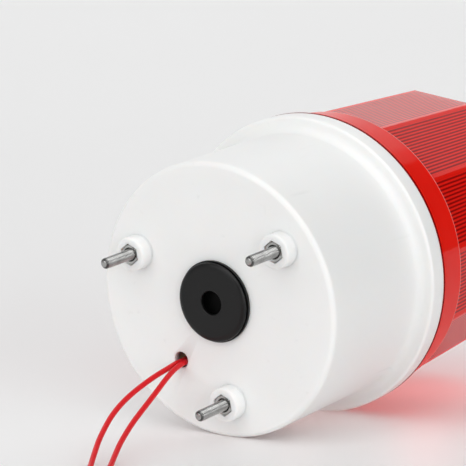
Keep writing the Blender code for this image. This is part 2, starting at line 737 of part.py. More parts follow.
def sounder():
    """Panel sounder: case, brass diaphragm, back and ring nut."""
    front = -SOUNDER_PROUD
    flange_low = -SOUNDER_FLANGE_HEIGHT - SEAT_GAP
    groove_low = flange_low - SOUNDER_GROOVE_HEIGHT
    chamber = SOUNDER_BODY_RADIUS - SOUNDER_WALL
    ledge = front + SOUNDER_WALL + DIAPHRAGM_DEPTH
    back = SOUNDER_DEPTH - SOUNDER_BACK_THICKNESS
    outline = (
        [(SOUND_HOLE_RADIUS, front)]
        + quarter(
            (SOUNDER_RADIUS - SOUNDER_EDGE_ROUND, front + SOUNDER_EDGE_ROUND), SOUNDER_EDGE_ROUND, -90, 0
        )
        + [
            (SOUNDER_RADIUS, groove_low),
            (SOUNDER_GROOVE_RADIUS, groove_low),
            (SOUNDER_GROOVE_RADIUS, flange_low),
            (SOUNDER_FLANGE_RADIUS, flange_low),
            (SOUNDER_FLANGE_RADIUS, -SEAT_GAP),
            (SOUNDER_BODY_RADIUS, -SEAT_GAP),
            (SOUNDER_BODY_RADIUS, SOUNDER_DEPTH),
            (chamber, SOUNDER_DEPTH),
            (chamber, ledge),
            (chamber - DIAPHRAGM_LEDGE, ledge),
            (chamber - DIAPHRAGM_LEDGE, front + SOUNDER_WALL),
            (SOUND_HOLE_RADIUS, front + SOUNDER_WALL),
        ]
    )
    case = turned("sounder_case", outline, "black_plastic")
    low = ledge + SEAT_GAP
    plate = rod("sounder_diaphragm", chamber - SEAT_GAP, low, low + DIAPHRAGM_THICKNESS, "brass", DISC_STEPS)
    rear = rod("sounder_back", chamber - SEAT_GAP, back, SOUNDER_DEPTH, "black_plastic", DISC_STEPS)
    pins = []
    for place in sounder_pin_places():
        pin_low = SOUNDER_DEPTH - SINK
        pin_high = BOARD_TOP + SOUNDER_PIN_STICK_OUT
        pins.append(rod("pin", SOUNDER_PIN_RADIUS, pin_low, pin_high, "tinned_copper", SMALL_STEPS, place))
    add(rear, *pins)
    low = FACE_THICKNESS + SEAT_GAP
    ring_outline = (
        (SOUNDER_BODY_RADIUS + SEAT_GAP, low),
        (RING_NUT_RADIUS, low),
        (RING_NUT_RADIUS, low + RING_NUT_HEIGHT),
        (SOUNDER_BODY_RADIUS + SEAT_GAP, low + RING_NUT_HEIGHT),
    )
    half_step = math.pi / (2 * RING_NUT_GRIPS)
    ring = turned("sounder_ring_nut", ring_outline, "black_plastic", 2 * RING_NUT_GRIPS, half_step)
    grips = []
    for angle in angles(RING_NUT_GRIPS):
        place = polar(RING_NUT_RADIUS + RING_NUT_GRIP_DEPTH, angle)
        top = low + RING_NUT_HEIGHT + OVERRUN
        grips.append(rod("grip", 2 * RING_NUT_GRIP_DEPTH, low - OVERRUN, top, "black_plastic", SMALL_STEPS, place))
    return [case, plate, rear, cut(ring, *grips)]


def slotted_screw(name, place, seat, finish="zinc_steel"):
    """A cheese-head screw whose head rests just above its seat."""
    low = seat - SCREW_SHANK_LENGTH
    head_low = seat + SEAT_GAP
    head_top = head_low + SCREW_HEAD_HEIGHT
    outline = (
        (0.0, low),
        (SCREW_SHANK_RADIUS, low),
        (SCREW_SHANK_RADIUS, head_low),
        (SCREW_HEAD_RADIUS, head_low),
        (SCREW_HEAD_RADIUS, head_top),
        (0.0, head_top),
    )
    screw = turned(name, outline, finish, PIN_STEPS)
    half = SCREW_SLOT_WIDTH / 2
    reach = SCREW_HEAD_RADIUS + OVERRUN
    slot_low = head_top - SCREW_SLOT_DEPTH
    cut(screw, box("slot", (-reach, -half, slot_low), (reach, half, head_top + OVERRUN), finish))
    screw.location = place
    return screw


def circuit_board():
    """Driver board on three posts, with its larger components."""
    half = math.asin(BOARD_CHORD / BOARD_RADIUS)
    sweep = math.pi + 2 * half
    outline = []
    for step in range(DISC_STEPS + 1):
        angle = math.pi - half + sweep * step / DISC_STEPS
        outline.append((BOARD_RADIUS * math.cos(angle), BOARD_RADIUS * math.sin(angle)))
    board = prism("circuit_board", outline, BOARD_LEVEL, BOARD_TOP, "board_green")
    holes = []
    pieces = [board]
    for number, place in enumerate(board_post_places(), start=1):
        low = BOARD_LEVEL - OVERRUN
        holes.append(rod("hole", SCREW_PILOT_RADIUS, low, BOARD_TOP + OVERRUN, "board_green", PIN_STEPS, place))
        pieces.append(slotted_screw(f"board_screw_{number}", place, BOARD_TOP))
    for place in sounder_pin_places():
        low = BOARD_LEVEL - OVERRUN
        radius = SOUNDER_PIN_RADIUS + SEAT_GAP
        holes.append(rod("hole", radius, low, BOARD_TOP + OVERRUN, "board_green", SMALL_STEPS, place))
    cut(board, *holes)
    seat = BOARD_TOP + SEAT_GAP
    return pieces + [terminal_block(seat), capacitor(seat), relay(seat), regulator(seat)]


def centred_box(name, place, size, level, finish):
    """A block centred on a place in plan, standing on a level."""
    low = (place.x - size.x / 2, place.y - size.y / 2, level)
    high = (place.x + size.x / 2, place.y + size.y / 2, level + size.z)
    return box(name, low, high, finish)


def terminal_holes():
    """Centres of the two wire entries in the terminal block."""
    pitch = TERMINAL_SIZE.x / TERMINAL_POLES
    level = BOARD_TOP + SEAT_GAP + TERMINAL_HOLE_LEVEL
    edge = TERMINAL_PLACE.y + TERMINAL_SIZE.y / 2
    places = []
    for pole in range(TERMINAL_POLES):
        across = TERMINAL_PLACE.x + pitch * (pole - (TERMINAL_POLES - 1) / 2)
        places.append(Vector((across, edge, level)))
    return places


def terminal_block(seat):
    """Two-pole screw terminal with an entry for each lead."""
    block = centred_box("terminal_block", TERMINAL_PLACE, TERMINAL_SIZE, seat, "terminal_green")
    tools = []
    for entry in terminal_holes():
        bore = rod("entry", TERMINAL_HOLE_RADIUS, -TERMINAL_SIZE.y / 2, OVERRUN, "terminal_green", SMALL_STEPS)
        bore.data.transform(Matrix.Rotation(-math.pi / 2, 4, "X"))
        bore.location = entry
        tools.append(bore)
        top = seat + TERMINAL_SIZE.z
        middle = Vector((entry.x, TERMINAL_PLACE.y, 0))
        depth = TERMINAL_SIZE.z / 3
        tools.append(rod("screw", TERMINAL_HOLE_RADIUS, top - depth, top + OVERRUN, "terminal_green", SMALL_STEPS, middle))
    return cut(block, *tools)


def capacitor(seat):
    """Smoothing capacitor, a can with a rounded top edge."""
    centre = (CAPACITOR_RADIUS - CAPACITOR_EDGE_ROUND, seat + CAPACITOR_HEIGHT - CAPACITOR_EDGE_ROUND)
    edge = quarter(centre, CAPACITOR_EDGE_ROUND, 0, 90)
    outline = [(0.0, seat), (CAPACITOR_RADIUS, seat)] + edge + [(0.0, seat + CAPACITOR_HEIGHT)]
    return turned("capacitor", outline, "black_plastic", PIN_STEPS, 0.0, CAPACITOR_PLACE)


def relay(seat):
    """Boxed relay that switches the motor and the lamp."""
    body = centred_box("relay", RELAY_PLACE, RELAY_SIZE, seat, "black_plastic")
    return soften(body, RELAY_EDGE_ROUND)


def regulator(seat):
    """Voltage regulator with its cooling tab."""
    body = centred_box("regulator", REGULATOR_PLACE, REGULATOR_SIZE, seat, "black_plastic")
    tab_size = Vector((REGULATOR_SIZE.x, REGULATOR_TAB_THICKNESS, REGULATOR_TAB_HEIGHT))
    tab_place = REGULATOR_PLACE - Vector((0, REGULATOR_SIZE.y / 2, 0))
    tab = centred_box("tab", tab_place, tab_size, seat, "black_plastic")
    bore = rod("bore", REGULATOR_HOLE_RADIUS, -REGULATOR_SIZE.y, REGULATOR_SIZE.y, "black_plastic", SMALL_STEPS)
    bore.data.transform(Matrix.Rotation(math.pi / 2, 4, "X"))
    bore.location = tab_place + Vector((0, 0, seat + (REGULATOR_SIZE.z + REGULATOR_TAB_HEIGHT) / 2))
    return cut(add(body, tab), bore)


def shaft_place():
    """Axis of the motor shaft in plan."""
    return polar(SHAFT_OFFSET, MOTOR_ANGLE)


def motor_screw_places():
    """The two screws that hang the gearhead from the deck."""
    return [shaft_place() + polar(MOTOR_SCREW_CIRCLE_RADIUS, angle) for angle in (0.0, math.pi)]


def spindle_screw_places():
    """The two screws that hold the lamp holder on the deck."""
    return [polar(SPINDLE_SCREW_CIRCLE_RADIUS, angle) for angle in (0.0, math.pi)]


def deck():
    """Round deck plate with the screws that hold it on its pillars."""
    facet = math.pi / SHELL_STEPS
    plate = rod("deck_plate", DECK_RADIUS, DECK_LEVEL, DECK_TOP, "motor_steel", SHELL_STEPS, start=facet / 2)
    low = DECK_LEVEL - OVERRUN
    high = DECK_TOP + OVERRUN
    tools = [rod("hole", DECK_HOLE_RADIUS, low, high, "motor_steel", PIN_STEPS)]
    tools.append(rod("hole", MOTOR_BOSS_RADIUS + SEAT_GAP, low, high, "motor_steel", PIN_STEPS, shaft_place()))
    for place in pillar_places() + motor_screw_places() + spindle_screw_places():
        tools.append(rod("hole", SCREW_PILOT_RADIUS, low, high, "motor_steel", PIN_STEPS, place))
    pieces = [cut(plate, *tools)]
    for number, place in enumerate(pillar_places(), start=1):
        pieces.append(slotted_screw(f"deck_screw_{number}", place, DECK_TOP))
    for number, place in enumerate(motor_screw_places(), start=1):
        pieces.append(slotted_screw(f"motor_screw_{number}", place, DECK_TOP))
    return pieces


def geared_motor():
    """Motor can and gearhead below the deck."""
    place = shaft_place()
    boss_top = GEARHEAD_TOP + MOTOR_BOSS_HEIGHT
    outline = (
        (0.0, GEARHEAD_BOTTOM),
        (GEARHEAD_RADIUS, GEARHEAD_BOTTOM),
        (GEARHEAD_RADIUS, GEARHEAD_TOP),
        (MOTOR_BOSS_RADIUS, GEARHEAD_TOP),
        (MOTOR_BOSS_RADIUS, boss_top),
        (0.0, boss_top),
    )
    gearhead = turned("motor_gearhead", outline, "gear_nylon", CAN_STEPS)
    tools = [rod("bore", SHAFT_RADIUS + RUNNING_FIT, GEARHEAD_TOP - SHAFT_SINK - SEAT_GAP, boss_top + OVERRUN)]
    for spot in motor_screw_places():
        low = DECK_TOP - SCREW_SHANK_LENGTH - OVERRUN
        tools.append(rod("pilot", SCREW_PILOT_RADIUS, low, GEARHEAD_TOP + OVERRUN, place=spot - place))
    cut(gearhead, *tools)
    gearhead.location = place
    lower = quarter((MOTOR_RADIUS - MOTOR_EDGE_ROUND, MOTOR_BOTTOM + MOTOR_EDGE_ROUND), MOTOR_EDGE_ROUND, -90, 0)
    end = MOTOR_BOTTOM - MOTOR_BOSS_HEIGHT
    outline = (
        [(0.0, end), (MOTOR_BOSS_RADIUS, end), (MOTOR_BOSS_RADIUS, MOTOR_BOTTOM)]
        + lower
        + [(MOTOR_RADIUS, MOTOR_TOP), (0.0, MOTOR_TOP)]
    )
    can = turned("motor_can", outline, "motor_steel", CAN_STEPS)
    reach = 2 * MOTOR_RADIUS
    flats = []
    for side in (-1, 1):
        near = side * MOTOR_RADIUS * MOTOR_FLAT_SHARE
        far = side * reach
        low = (min(near, far), -reach, MOTOR_BOTTOM - MOTOR_LENGTH)
        high = (max(near, far), reach, MOTOR_TOP + OVERRUN)
        flats.append(box("flat", low, high, "motor_steel"))
    cut(can, *flats)
    can.location = place
    return [can, gearhead]


def gear_outline(teeth, turn):
    """Involute tooth outline with short teeth and some backlash."""
    pitch_radius = GEAR_MODULE * teeth / 2
    base_radius = pitch_radius * math.cos(PRESSURE_ANGLE)
    tip_radius = pitch_radius + ADDENDUM_SHARE * GEAR_MODULE
    root_radius = pitch_radius - DEDENDUM_SHARE * GEAR_MODULE
    half_tooth = (math.pi * GEAR_MODULE / 2 - TOOTH_BACKLASH) / 2 / pitch_radius
    pressure_roll = math.tan(PRESSURE_ANGLE) - PRESSURE_ANGLE
    flank = []
    for step in range(FLANK_POINTS + 1):
        start = max(base_radius, root_radius)
        radius = start + (tip_radius - start) * step / FLANK_POINTS
        roll = math.sqrt(max(0.0, (radius / base_radius) ** 2 - 1))
        flank.append((radius, half_tooth + pressure_roll - (roll - math.atan(roll))))
    if root_radius < base_radius:
        flank.insert(0, (root_radius, flank[0][1]))
    points = []
    for tooth in angles(teeth, turn):
        sides = [(radius, -away) for radius, away in flank] + [(radius, away) for radius, away in reversed(flank)]
        for radius, away in sides:
            points.append((radius * math.cos(tooth + away), radius * math.sin(tooth + away)))
    return points


def drive():
    """Motor shaft and pinion, on the shaft's own axis."""
    top = GEAR_TOP + SEAT_GAP
    shaft = rod("drive_shaft", SHAFT_RADIUS, GEARHEAD_TOP - SHAFT_SINK, top, "zinc_steel")
    flat_low = DECK_TOP + OVERRUN
    near = SHAFT_RADIUS * SHAFT_FLAT_SHARE
    reach = 2 * SHAFT_RADIUS
    cut(shaft, box("flat", (near, -reach, flat_low), (reach, reach, top + OVERRUN), "zinc_steel"))
    facing = MOTOR_ANGLE + math.pi + math.pi / PINION_TEETH
    pinion = prism("drive_pinion", gear_outline(PINION_TEETH, facing), GEAR_LEVEL, GEAR_TOP, "gear_nylon")
    bore = rod("bore", SHAFT_RADIUS + SEAT_GAP, GEAR_LEVEL - OVERRUN, GEAR_TOP + OVERRUN)
    key_near = near + SEAT_GAP
    key_low = (key_near, -reach, GEAR_LEVEL - 2 * OVERRUN)
    key = box("key", key_low, (2 * reach, reach, GEAR_TOP + 2 * OVERRUN), "gear_nylon")
    cut(bore, key)
    cut(pinion, bore)
    for piece in (shaft, pinion):
        piece.location = shaft_place()
    return [shaft, pinion]


def lamp_holder():
    """Flanged tube that holds the lamp and carries the rotor, with its screws."""
    groove_low = CLIP_LEVEL - SEAT_GAP
    groove_high = CLIP_LEVEL + CLIP_HEIGHT + SEAT_GAP
    groove_radius = SPINDLE_RADIUS - CLIP_GROOVE_DEPTH
    hub_top = BUSH_BASE - SEAT_GAP
    outline = (
        (DECK_HOLE_RADIUS, SPINDLE_BASE),
        (SPINDLE_FLANGE_RADIUS, SPINDLE_BASE),
        (SPINDLE_FLANGE_RADIUS, FLANGE_TOP),
        (SPINDLE_HUB_RADIUS, FLANGE_TOP),
        (SPINDLE_HUB_RADIUS, hub_top),
        (SPINDLE_RADIUS, hub_top),
        (SPINDLE_RADIUS, groove_low),
        (groove_radius, groove_low),
        (groove_radius, groove_high),
        (SPINDLE_RADIUS, groove_high),
        (SPINDLE_RADIUS, SPINDLE_TOP),
        (SPINDLE_BORE_RADIUS, SPINDLE_TOP),
        (SPINDLE_BORE_RADIUS, FLANGE_TOP),
        (DECK_HOLE_RADIUS, FLANGE_TOP),
    )
    holder = turned("lamp_holder", outline, "black_plastic", DISC_STEPS, math.pi / DISC_STEPS)
    tools = []
    pieces = [holder]
    for number, place in enumerate(spindle_screw_places(), start=1):
        low = SPINDLE_BASE - OVERRUN
        tools.append(rod("hole", SCREW_PILOT_RADIUS, low, FLANGE_TOP + OVERRUN, place=place))
        pieces.append(slotted_screw(f"holder_screw_{number}", place, FLANGE_TOP))
    cut(holder, *tools)
    low = FLANGE_TOP + SEAT_GAP
    high = low + LAMP_CONTACT_HEIGHT - 2 * SEAT_GAP
    contact = rod("lamp_contact", SPINDLE_BORE_RADIUS - SEAT_GAP, low, high, "gear_nylon", CAN_STEPS)
    stem = rod("stem", LAMP_CONTACT_BUTTON_RADIUS, SPINDLE_BASE, low + SINK, "brass")
    pieces.append(add(contact, stem))
    clip_outline = (
        (groove_radius + SEAT_GAP, CLIP_LEVEL),
        (CLIP_RADIUS, CLIP_LEVEL),
        (CLIP_RADIUS, CLIP_LEVEL + CLIP_HEIGHT),
        (groove_radius + SEAT_GAP, CLIP_LEVEL + CLIP_HEIGHT),
    )
    clip = turned("rotor_clip", clip_outline, "zinc_steel")
    half = CLIP_GAP / 2
    gap_low = (0.0, -half, CLIP_LEVEL - OVERRUN)
    gap_high = (CLIP_RADIUS + OVERRUN, half, CLIP_LEVEL + CLIP_HEIGHT + OVERRUN)
    pieces.append(cut(clip, box("gap", gap_low, gap_high, "zinc_steel")))
    return pieces


def lamp():
    """Lamp: brass cap, glass envelope and filament on its stem."""
    outline = (
        (0.0, CAP_BASE),
        (LAMP_CAP_RADIUS - LAMP_PIN_RADIUS, CAP_BASE),
        (LAMP_CAP_RADIUS, CAP_BASE + LAMP_PIN_RADIUS),
        (LAMP_CAP_RADIUS, CAP_TOP),
        (0.0, CAP_TOP),
    )
    cap = turned("lamp_cap", outline, "brass", CAN_STEPS)
    sphere = LAMP_CENTRE
    neck_angle = math.degrees(math.asin(GLASS_NECK_RADIUS / GLASS_RADIUS)) - 90
    inner_radius = GLASS_RADIUS - GLASS_WALL
    inner_neck = GLASS_NECK_RADIUS - GLASS_WALL
    inner_angle = math.degrees(math.asin(inner_neck / inner_radius)) - 90
    outline = (
        [(GLASS_NECK_RADIUS, GLASS_BASE)]
        + quarter((0.0, sphere), GLASS_RADIUS, neck_angle, 90, BULB_STEPS)
        + quarter((0.0, sphere), inner_radius, 90, inner_angle, BULB_STEPS)
        + [(inner_neck, GLASS_BASE)]
    )
    glass = turned("lamp_glass", outline, "lamp_glass", CAN_STEPS)
    stem_top = GLASS_BASE + GLASS_NECK_HEIGHT
    filament = rod("lamp_filament", STEM_RADIUS, GLASS_BASE, stem_top, "lamp_glass", PIN_STEPS)
    tools = []
    for side in (-1, 1):
        place = Vector((side * FILAMENT_SPREAD / 2, 0, 0))
        tools.append(rod("post", FILAMENT_POST_RADIUS, stem_top - SINK, sphere, "zinc_steel", SMALL_STEPS, place))
    half = FILAMENT_SPREAD / 2 + FILAMENT_BAR_RADIUS
    bar = rod("bar", FILAMENT_BAR_RADIUS, -half, half, "zinc_steel", SMALL_STEPS)
    bar.data.transform(Matrix.Rotation(math.pi / 2, 4, "Y"))
    bar.location = Vector((0, 0, sphere))
    return [cap, glass, add(filament, *tools, bar)]


def reflector_dish():
    """Paraboloid shell on its own axis, opening along +X from its focus."""
    inside = []
    outside = []
    for step in range(REFLECTOR_RINGS + 1):
        radius = REFLECTOR_RADIUS * step / REFLECTOR_RINGS
        depth = radius**2 / (4 * REFLECTOR_FOCUS) - REFLECTOR_FOCUS
        slope = math.atan(radius / (2 * REFLECTOR_FOCUS))
        inside.append((radius, depth))
        outside.append((radius + REFLECTOR_WALL * math.sin(slope), depth - REFLECTOR_WALL * math.cos(slope)))
    outline = inside + list(reversed(outside))
    dish = turned("reflector", outline, "mirror_chrome", DISC_STEPS)
    dish.data.transform(Matrix.Rotation(math.pi / 2, 4, "Y"))
    return dish


def rotor():
    """Bush, ring gear, bracket and reflector, turning about the lamp."""
    bush_outline = (
        (SPINDLE_RADIUS + RUNNING_FIT, BUSH_BASE),
        (BUSH_RADIUS, BUSH_BASE),
        (BUSH_RADIUS, BUSH_TOP),
        (SPINDLE_RADIUS + RUNNING_FIT, BUSH_TOP),
    )
    bush = turned("rotor_bush", bush_outline, "brass")
    gear = prism("rotor_gear", gear_outline(GEAR_TEETH, math.pi), GEAR_LEVEL, GEAR_TOP, "gear_nylon")
    bore = rod("bore", BUSH_RADIUS + SEAT_GAP, GEAR_LEVEL - OVERRUN, GEAR_TOP + OVERRUN, "gear_nylon", DISC_STEPS)
    face = -BRACKET_FACE
    foot_middle = Vector(((face - BRACKET_FOOT_INNER) / 2, 0, 0))
    foot_screws = [foot_middle + Vector((0, side * BRACKET_WIDTH / 4, 0)) for side in (-1, 1)]
    pilots = []
    for place in foot_screws:
        pilots.append(rod("pilot", SCREW_PILOT_RADIUS, GEAR_LEVEL - OVERRUN, GEAR_TOP + OVERRUN, place=place))
    cut(gear, bore, *pilots)
    dish = reflector_dish()
    dish.location = Vector((0, 0, LAMP_CENTRE))
    boss_high = -REFLECTOR_FOCUS - REFLECTOR_WALL / 2
    boss_low = -REFLECTOR_FOCUS - REFLECTOR_WALL - REFLECTOR_BOSS_LENGTH
    boss = rod("boss", REFLECTOR_BOSS_RADIUS, boss_low, boss_high, "mirror_chrome", PIN_STEPS)
    pilot = rod("pilot", SCREW_PILOT_RADIUS, boss_low - OVERRUN, boss_high - SINK / 2, "mirror_chrome", PIN_STEPS)
    for tool in (boss, pilot):
        tool.data.transform(Matrix.Rotation(math.pi / 2, 4, "Y"))
        tool.location = dish.location
    reach = 2 * REFLECTOR_RADIUS
    cut_level = LAMP_CENTRE - REFLECTOR_CUT_BELOW
    below = box("below", (-reach, -reach, 0.0), (reach, reach, cut_level), "mirror_chrome")
    add(dish, boss)
    cut(dish, below, pilot)
    bracket = reflector_bracket(foot_screws)
    pieces = [bush, gear, dish, bracket]
    for number, place in enumerate(foot_screws, start=1):
        screw = slotted_screw(f"bracket_screw_{number}", place, BRACKET_BASE + BRACKET_THICKNESS)
        shorten(screw, GEAR_LEVEL)
        pieces.append(screw)
    back_screw = slotted_screw("reflector_screw", Vector(), BRACKET_THICKNESS)
    shorten(back_screw, BRACKET_THICKNESS - SEAT_GAP - REFLECTOR_BOSS_LENGTH)
    back_screw.data.transform(Matrix.Rotation(-math.pi / 2, 4, "Y"))
    back_screw.location = Vector((face, 0, LAMP_CENTRE))
    pieces.append(back_screw)
    return pieces


def shorten(screw, level):
    """Trim a screw's shank at a level."""
    reach = 2 * SCREW_HEAD_RADIUS
    low = (-reach, -reach, level - SCREW_SHANK_LENGTH - OVERRUN)
    trim = box("trim", low, (reach, reach, level), "zinc_steel")
    trim.location = Vector((screw.location.x, screw.location.y, 0))
    return cut(screw, trim)


def reflector_bracket(foot_screws):
    """Bent strip from the gear up to the back of the reflector."""
    face = -BRACKET_FACE
    half = BRACKET_WIDTH / 2
    top = LAMP_CENTRE + half
    foot_top = BRACKET_BASE + BRACKET_THICKNESS
    low = (face - BRACKET_THICKNESS, -half, BRACKET_BASE)
    upright = box("reflector_bracket", low, (face, half, top), "motor_steel")
    foot = box("foot", (face - SINK, -half, BRACKET_BASE), (-BRACKET_FOOT_INNER, half, foot_top), "motor_steel")
    add(upright, foot)
    tools = []
    for place in foot_screws:
        tools.append(rod("hole", BRACKET_HOLE_RADIUS, BRACKET_BASE - OVERRUN, foot_top + OVERRUN, place=place))
    back = rod("hole", BRACKET_HOLE_RADIUS, -2 * BRACKET_FACE, 0.0)
    back.data.transform(Matrix.Rotation(math.pi / 2, 4, "Y"))
    back.location = Vector((0, 0, LAMP_CENTRE))
    return cut(upright, *tools, back)


def polygon_factor(angle):
    """Radius of a twelve-sided outline at an angle, as a share of its corner radius."""
    side = 2 * math.pi / LENS_FACETS
    away = (angle - STUD_ANGLE) % side - side / 2
    return math.cos(side / 2) / math.cos(away)


def lens():
    """Red lens: neck with bayonet lugs, round collar and faceted body with a flat top."""
    corner = COLLAR_RADIUS - COLLAR_EDGE_ROUND
    top_corner = corner - BODY_TAPER
    inner_step = LENS_WALL / math.cos(math.pi / LENS_FACETS)
    inner_top = LENS_TOP - LENS_TOP_THICKNESS
    round_rings = (
        (NECK_RADIUS - LENS_WALL, NECK_BOTTOM),
        (NECK_RADIUS, NECK_BOTTOM),
        (NECK_RADIUS, COLLAR_BOTTOM),
        (COLLAR_RADIUS, COLLAR_BOTTOM),
        (COLLAR_RADIUS, COLLAR_TOP - COLLAR_EDGE_ROUND),
        (COLLAR_RADIUS - COLLAR_EDGE_ROUND, COLLAR_TOP),
    )
    faceted_rings = (
        (corner, COLLAR_TOP),
        (top_corner, LENS_TOP - LENS_TOP_EDGE),
        (top_corner - LENS_TOP_EDGE, LENS_TOP),
        (0.0, LENS_TOP),
        (0.0, inner_top),
        (top_corner - inner_step, inner_top),
        (corner - inner_step, COLLAR_TOP),
    )
    closing_rings = (
        (COLLAR_RADIUS - LENS_WALL, COLLAR_TOP - LENS_WALL),
        (COLLAR_RADIUS - LENS_WALL, COLLAR_BOTTOM + LENS_WALL),
        (NECK_RADIUS - LENS_WALL, COLLAR_BOTTOM + LENS_WALL),
    )
    bm = bmesh.new()
    turns = angles(SHELL_STEPS, STUD_ANGLE)
    rings = []
    for radius, level in round_rings:
        rings.append([bm.verts.new(polar(radius, turn, level)) for turn in turns])
    for radius, level in faceted_rings:
        rings.append([bm.verts.new(polar(radius * polygon_factor(turn), turn, level)) for turn in turns])
    for radius, level in closing_rings:
        rings.append([bm.verts.new(polar(radius, turn, level)) for turn in turns])
    for first, second in zip(rings, rings[1:] + rings[:1]):
        for i in range(SHELL_STEPS):
            bm.faces.new((first[i - 1], first[i], second[i], second[i - 1]))
    bmesh.ops.remove_doubles(bm, verts=bm.verts, dist=SEAT_GAP / 100)
    shell = mesh_object("lens", bm, "red_lens")
    lugs = []
    for angle in angles(LUG_COUNT, STUD_ANGLE):
        inner = NECK_RADIUS - SINK
        outer = NECK_RADIUS + LUG_REACH
        start = angle - LUG_ARC / 2
        lugs.append(arc_block("lug", inner, outer, LUG_LOW, LUG_HIGH, start, LUG_ARC, "red_lens"))
    return add(shell, *lugs)


def lens_seal():
    """Flat rubber ring between the lens collar and the base."""
    low = SOCKET_FLOOR + SEAT_GAP
    outer = SOCKET_RADIUS - COLLAR_GAP
    inner = outer - SEAL_WIDTH
    outline = ((inner, low), (outer, low), (outer, low + SEAL_HEIGHT), (inner, low + SEAL_HEIGHT))
    return turned("lens_seal", outline, "seal_rubber", SHELL_STEPS, math.pi / 2 + math.pi / SHELL_STEPS)


def lead_exit(side):
    """Where a lead passes the mounting face, in the beacon's own frame."""
    centre = polar(LEAD_HOLE_CIRCLE_RADIUS, LEAD_HOLE_ANGLE)
    return centre + Vector((LEAD_SHIFT_IN_HOLE + side * LEAD_SIDE_OFFSET, LEAD_DROP_IN_HOLE, 0))


def inner_leads():
    """The leads inside the base, from the terminal block to the lead hole, and their tie."""
    pieces = []
    names = ("inner_lead_left", "inner_lead_right")
    for name, side, entry in zip(names, (-1, 1), terminal_holes()):
        leave = lead_exit(side)
        inside = entry - Vector((0, TERMINAL_SIZE.y / 4, 0))
        bend = 4 * LEAD_RADIUS
        route = [
            inside,
            entry + Vector((0, LEAD_RADIUS, 0)),
            Vector((leave.x, leave.y, 0)) + Vector((0, -bend / 2, entry.z - bend / 2)),
            Vector((leave.x, leave.y, TIE_LEVEL + TIE_WIDTH)),
            Vector((leave.x, leave.y, TIE_LEVEL - TIE_WIDTH)),
            Vector((leave.x, leave.y, SEAT_GAP / 2)),
        ]
        pieces.append(wire(name, [smooth_curve(route, INNER_LEAD_POINT_SPACING)], LEAD_RADIUS, "lead_red"))
    middle = (lead_exit(-1) + lead_exit(1)) / 2
    inner_across = LEAD_SIDE_OFFSET + LEAD_RADIUS + SEAT_GAP
    inner_up = LEAD_RADIUS + SEAT_GAP
    outer_across = inner_across + TIE_THICKNESS
    outer_up = inner_up + TIE_THICKNESS
    band = box(
        "lead_tie",
        (middle.x - outer_across, middle.y - outer_up, TIE_LEVEL - TIE_WIDTH / 2),
        (middle.x + outer_across, middle.y + outer_up, TIE_LEVEL + TIE_WIDTH / 2),
        "tie_nylon",
    )
    window = box(
        "window",
        (middle.x - inner_across, middle.y - inner_up, TIE_LEVEL - TIE_WIDTH),
        (middle.x + inner_across, middle.y + inner_up, TIE_LEVEL + TIE_WIDTH),
        "tie_nylon",
    )
    pieces.append(cut(band, window))
    return pieces


def hookup_wires():
    """Thin wires from the circuit board to the motor's tabs and the lamp holder."""
    pieces = []
    pad = BOARD_TOP + SEAT_GAP
    motor = shaft_place()
    tab_level = MOTOR_BOTTOM - SEAT_GAP
    for number, side in enumerate((-1, 1), start=1):
        across = side * MOTOR_WIRE_SPREAD / 2
        tab = motor.y - math.sqrt(MOTOR_TAB_RADIUS**2 - across**2)
        edge = (BOARD_CHORD + motor.y - MOTOR_RADIUS) / 2
        route = [
            Vector((across, MOTOR_WIRE_PAD, pad)),
            Vector((across, MOTOR_WIRE_PAD, pad + HOOKUP_ARCH / 2)),
            Vector((across, BOARD_CHORD, pad + HOOKUP_ARCH)),
            Vector((across, edge, pad + HOOKUP_ARCH / 4)),
            Vector((across, (edge + tab) / 2, tab_level - HOOKUP_DIP)),
            Vector((across, tab, tab_level - HOOKUP_DIP / 2)),
            Vector((across, tab, tab_level)),
        ]
        run = smooth_curve(route, HOOKUP_POINT_SPACING)
        pieces.append(wire(f"motor_wire_{number}", [run], HOOKUP_RADIUS, "lead_red", COIL_SIDE_STEPS))
    stem_end = SPINDLE_BASE - SEAT_GAP
    insulator = FLANGE_TOP
    for number, (across, end) in enumerate(((0.0, stem_end), (LAMP_WIRE_SPREAD, insulator)), start=1):
        start = across - LAMP_WIRE_SPREAD / 2
        route = [
            Vector((start, -LAMP_WIRE_PAD, pad)),
            Vector((start, -LAMP_WIRE_PAD, pad + HOOKUP_ARCH)),
            Vector((across, 0.0, DECK_LEVEL - HOOKUP_ARCH)),
            Vector((across, 0.0, end)),
        ]
        run = smooth_curve(route, HOOKUP_POINT_SPACING)
        pieces.append(wire(f"lamp_wire_{number}", [run], HOOKUP_RADIUS, "lead_red", COIL_SIDE_STEPS))
    return pieces


def rest_tilt():
    """Tilt of the axis when the base lies on its face edge and its flange."""
    outline = base_outline()
    facet = math.cos(math.pi / SHELL_STEPS)
    for low_radius, low_level in outline:
        for high_radius, high_level in outline:
            if high_level <= low_level:
                continue
            slope = (high_radius - low_radius) / (high_level - low_level)
            over = [r - low_radius - slope * (h - low_level) for r, h in outline]
            spans = low_level < FACE_EDGE_ROUND * 2 and high_level > BASE_HEIGHT - 2 * FLANGE_LAND
            if spans and max(over) < SEAT_GAP / 1000:
                return math.atan(slope * facet)
    raise ValueError("the base has no two places to rest on")


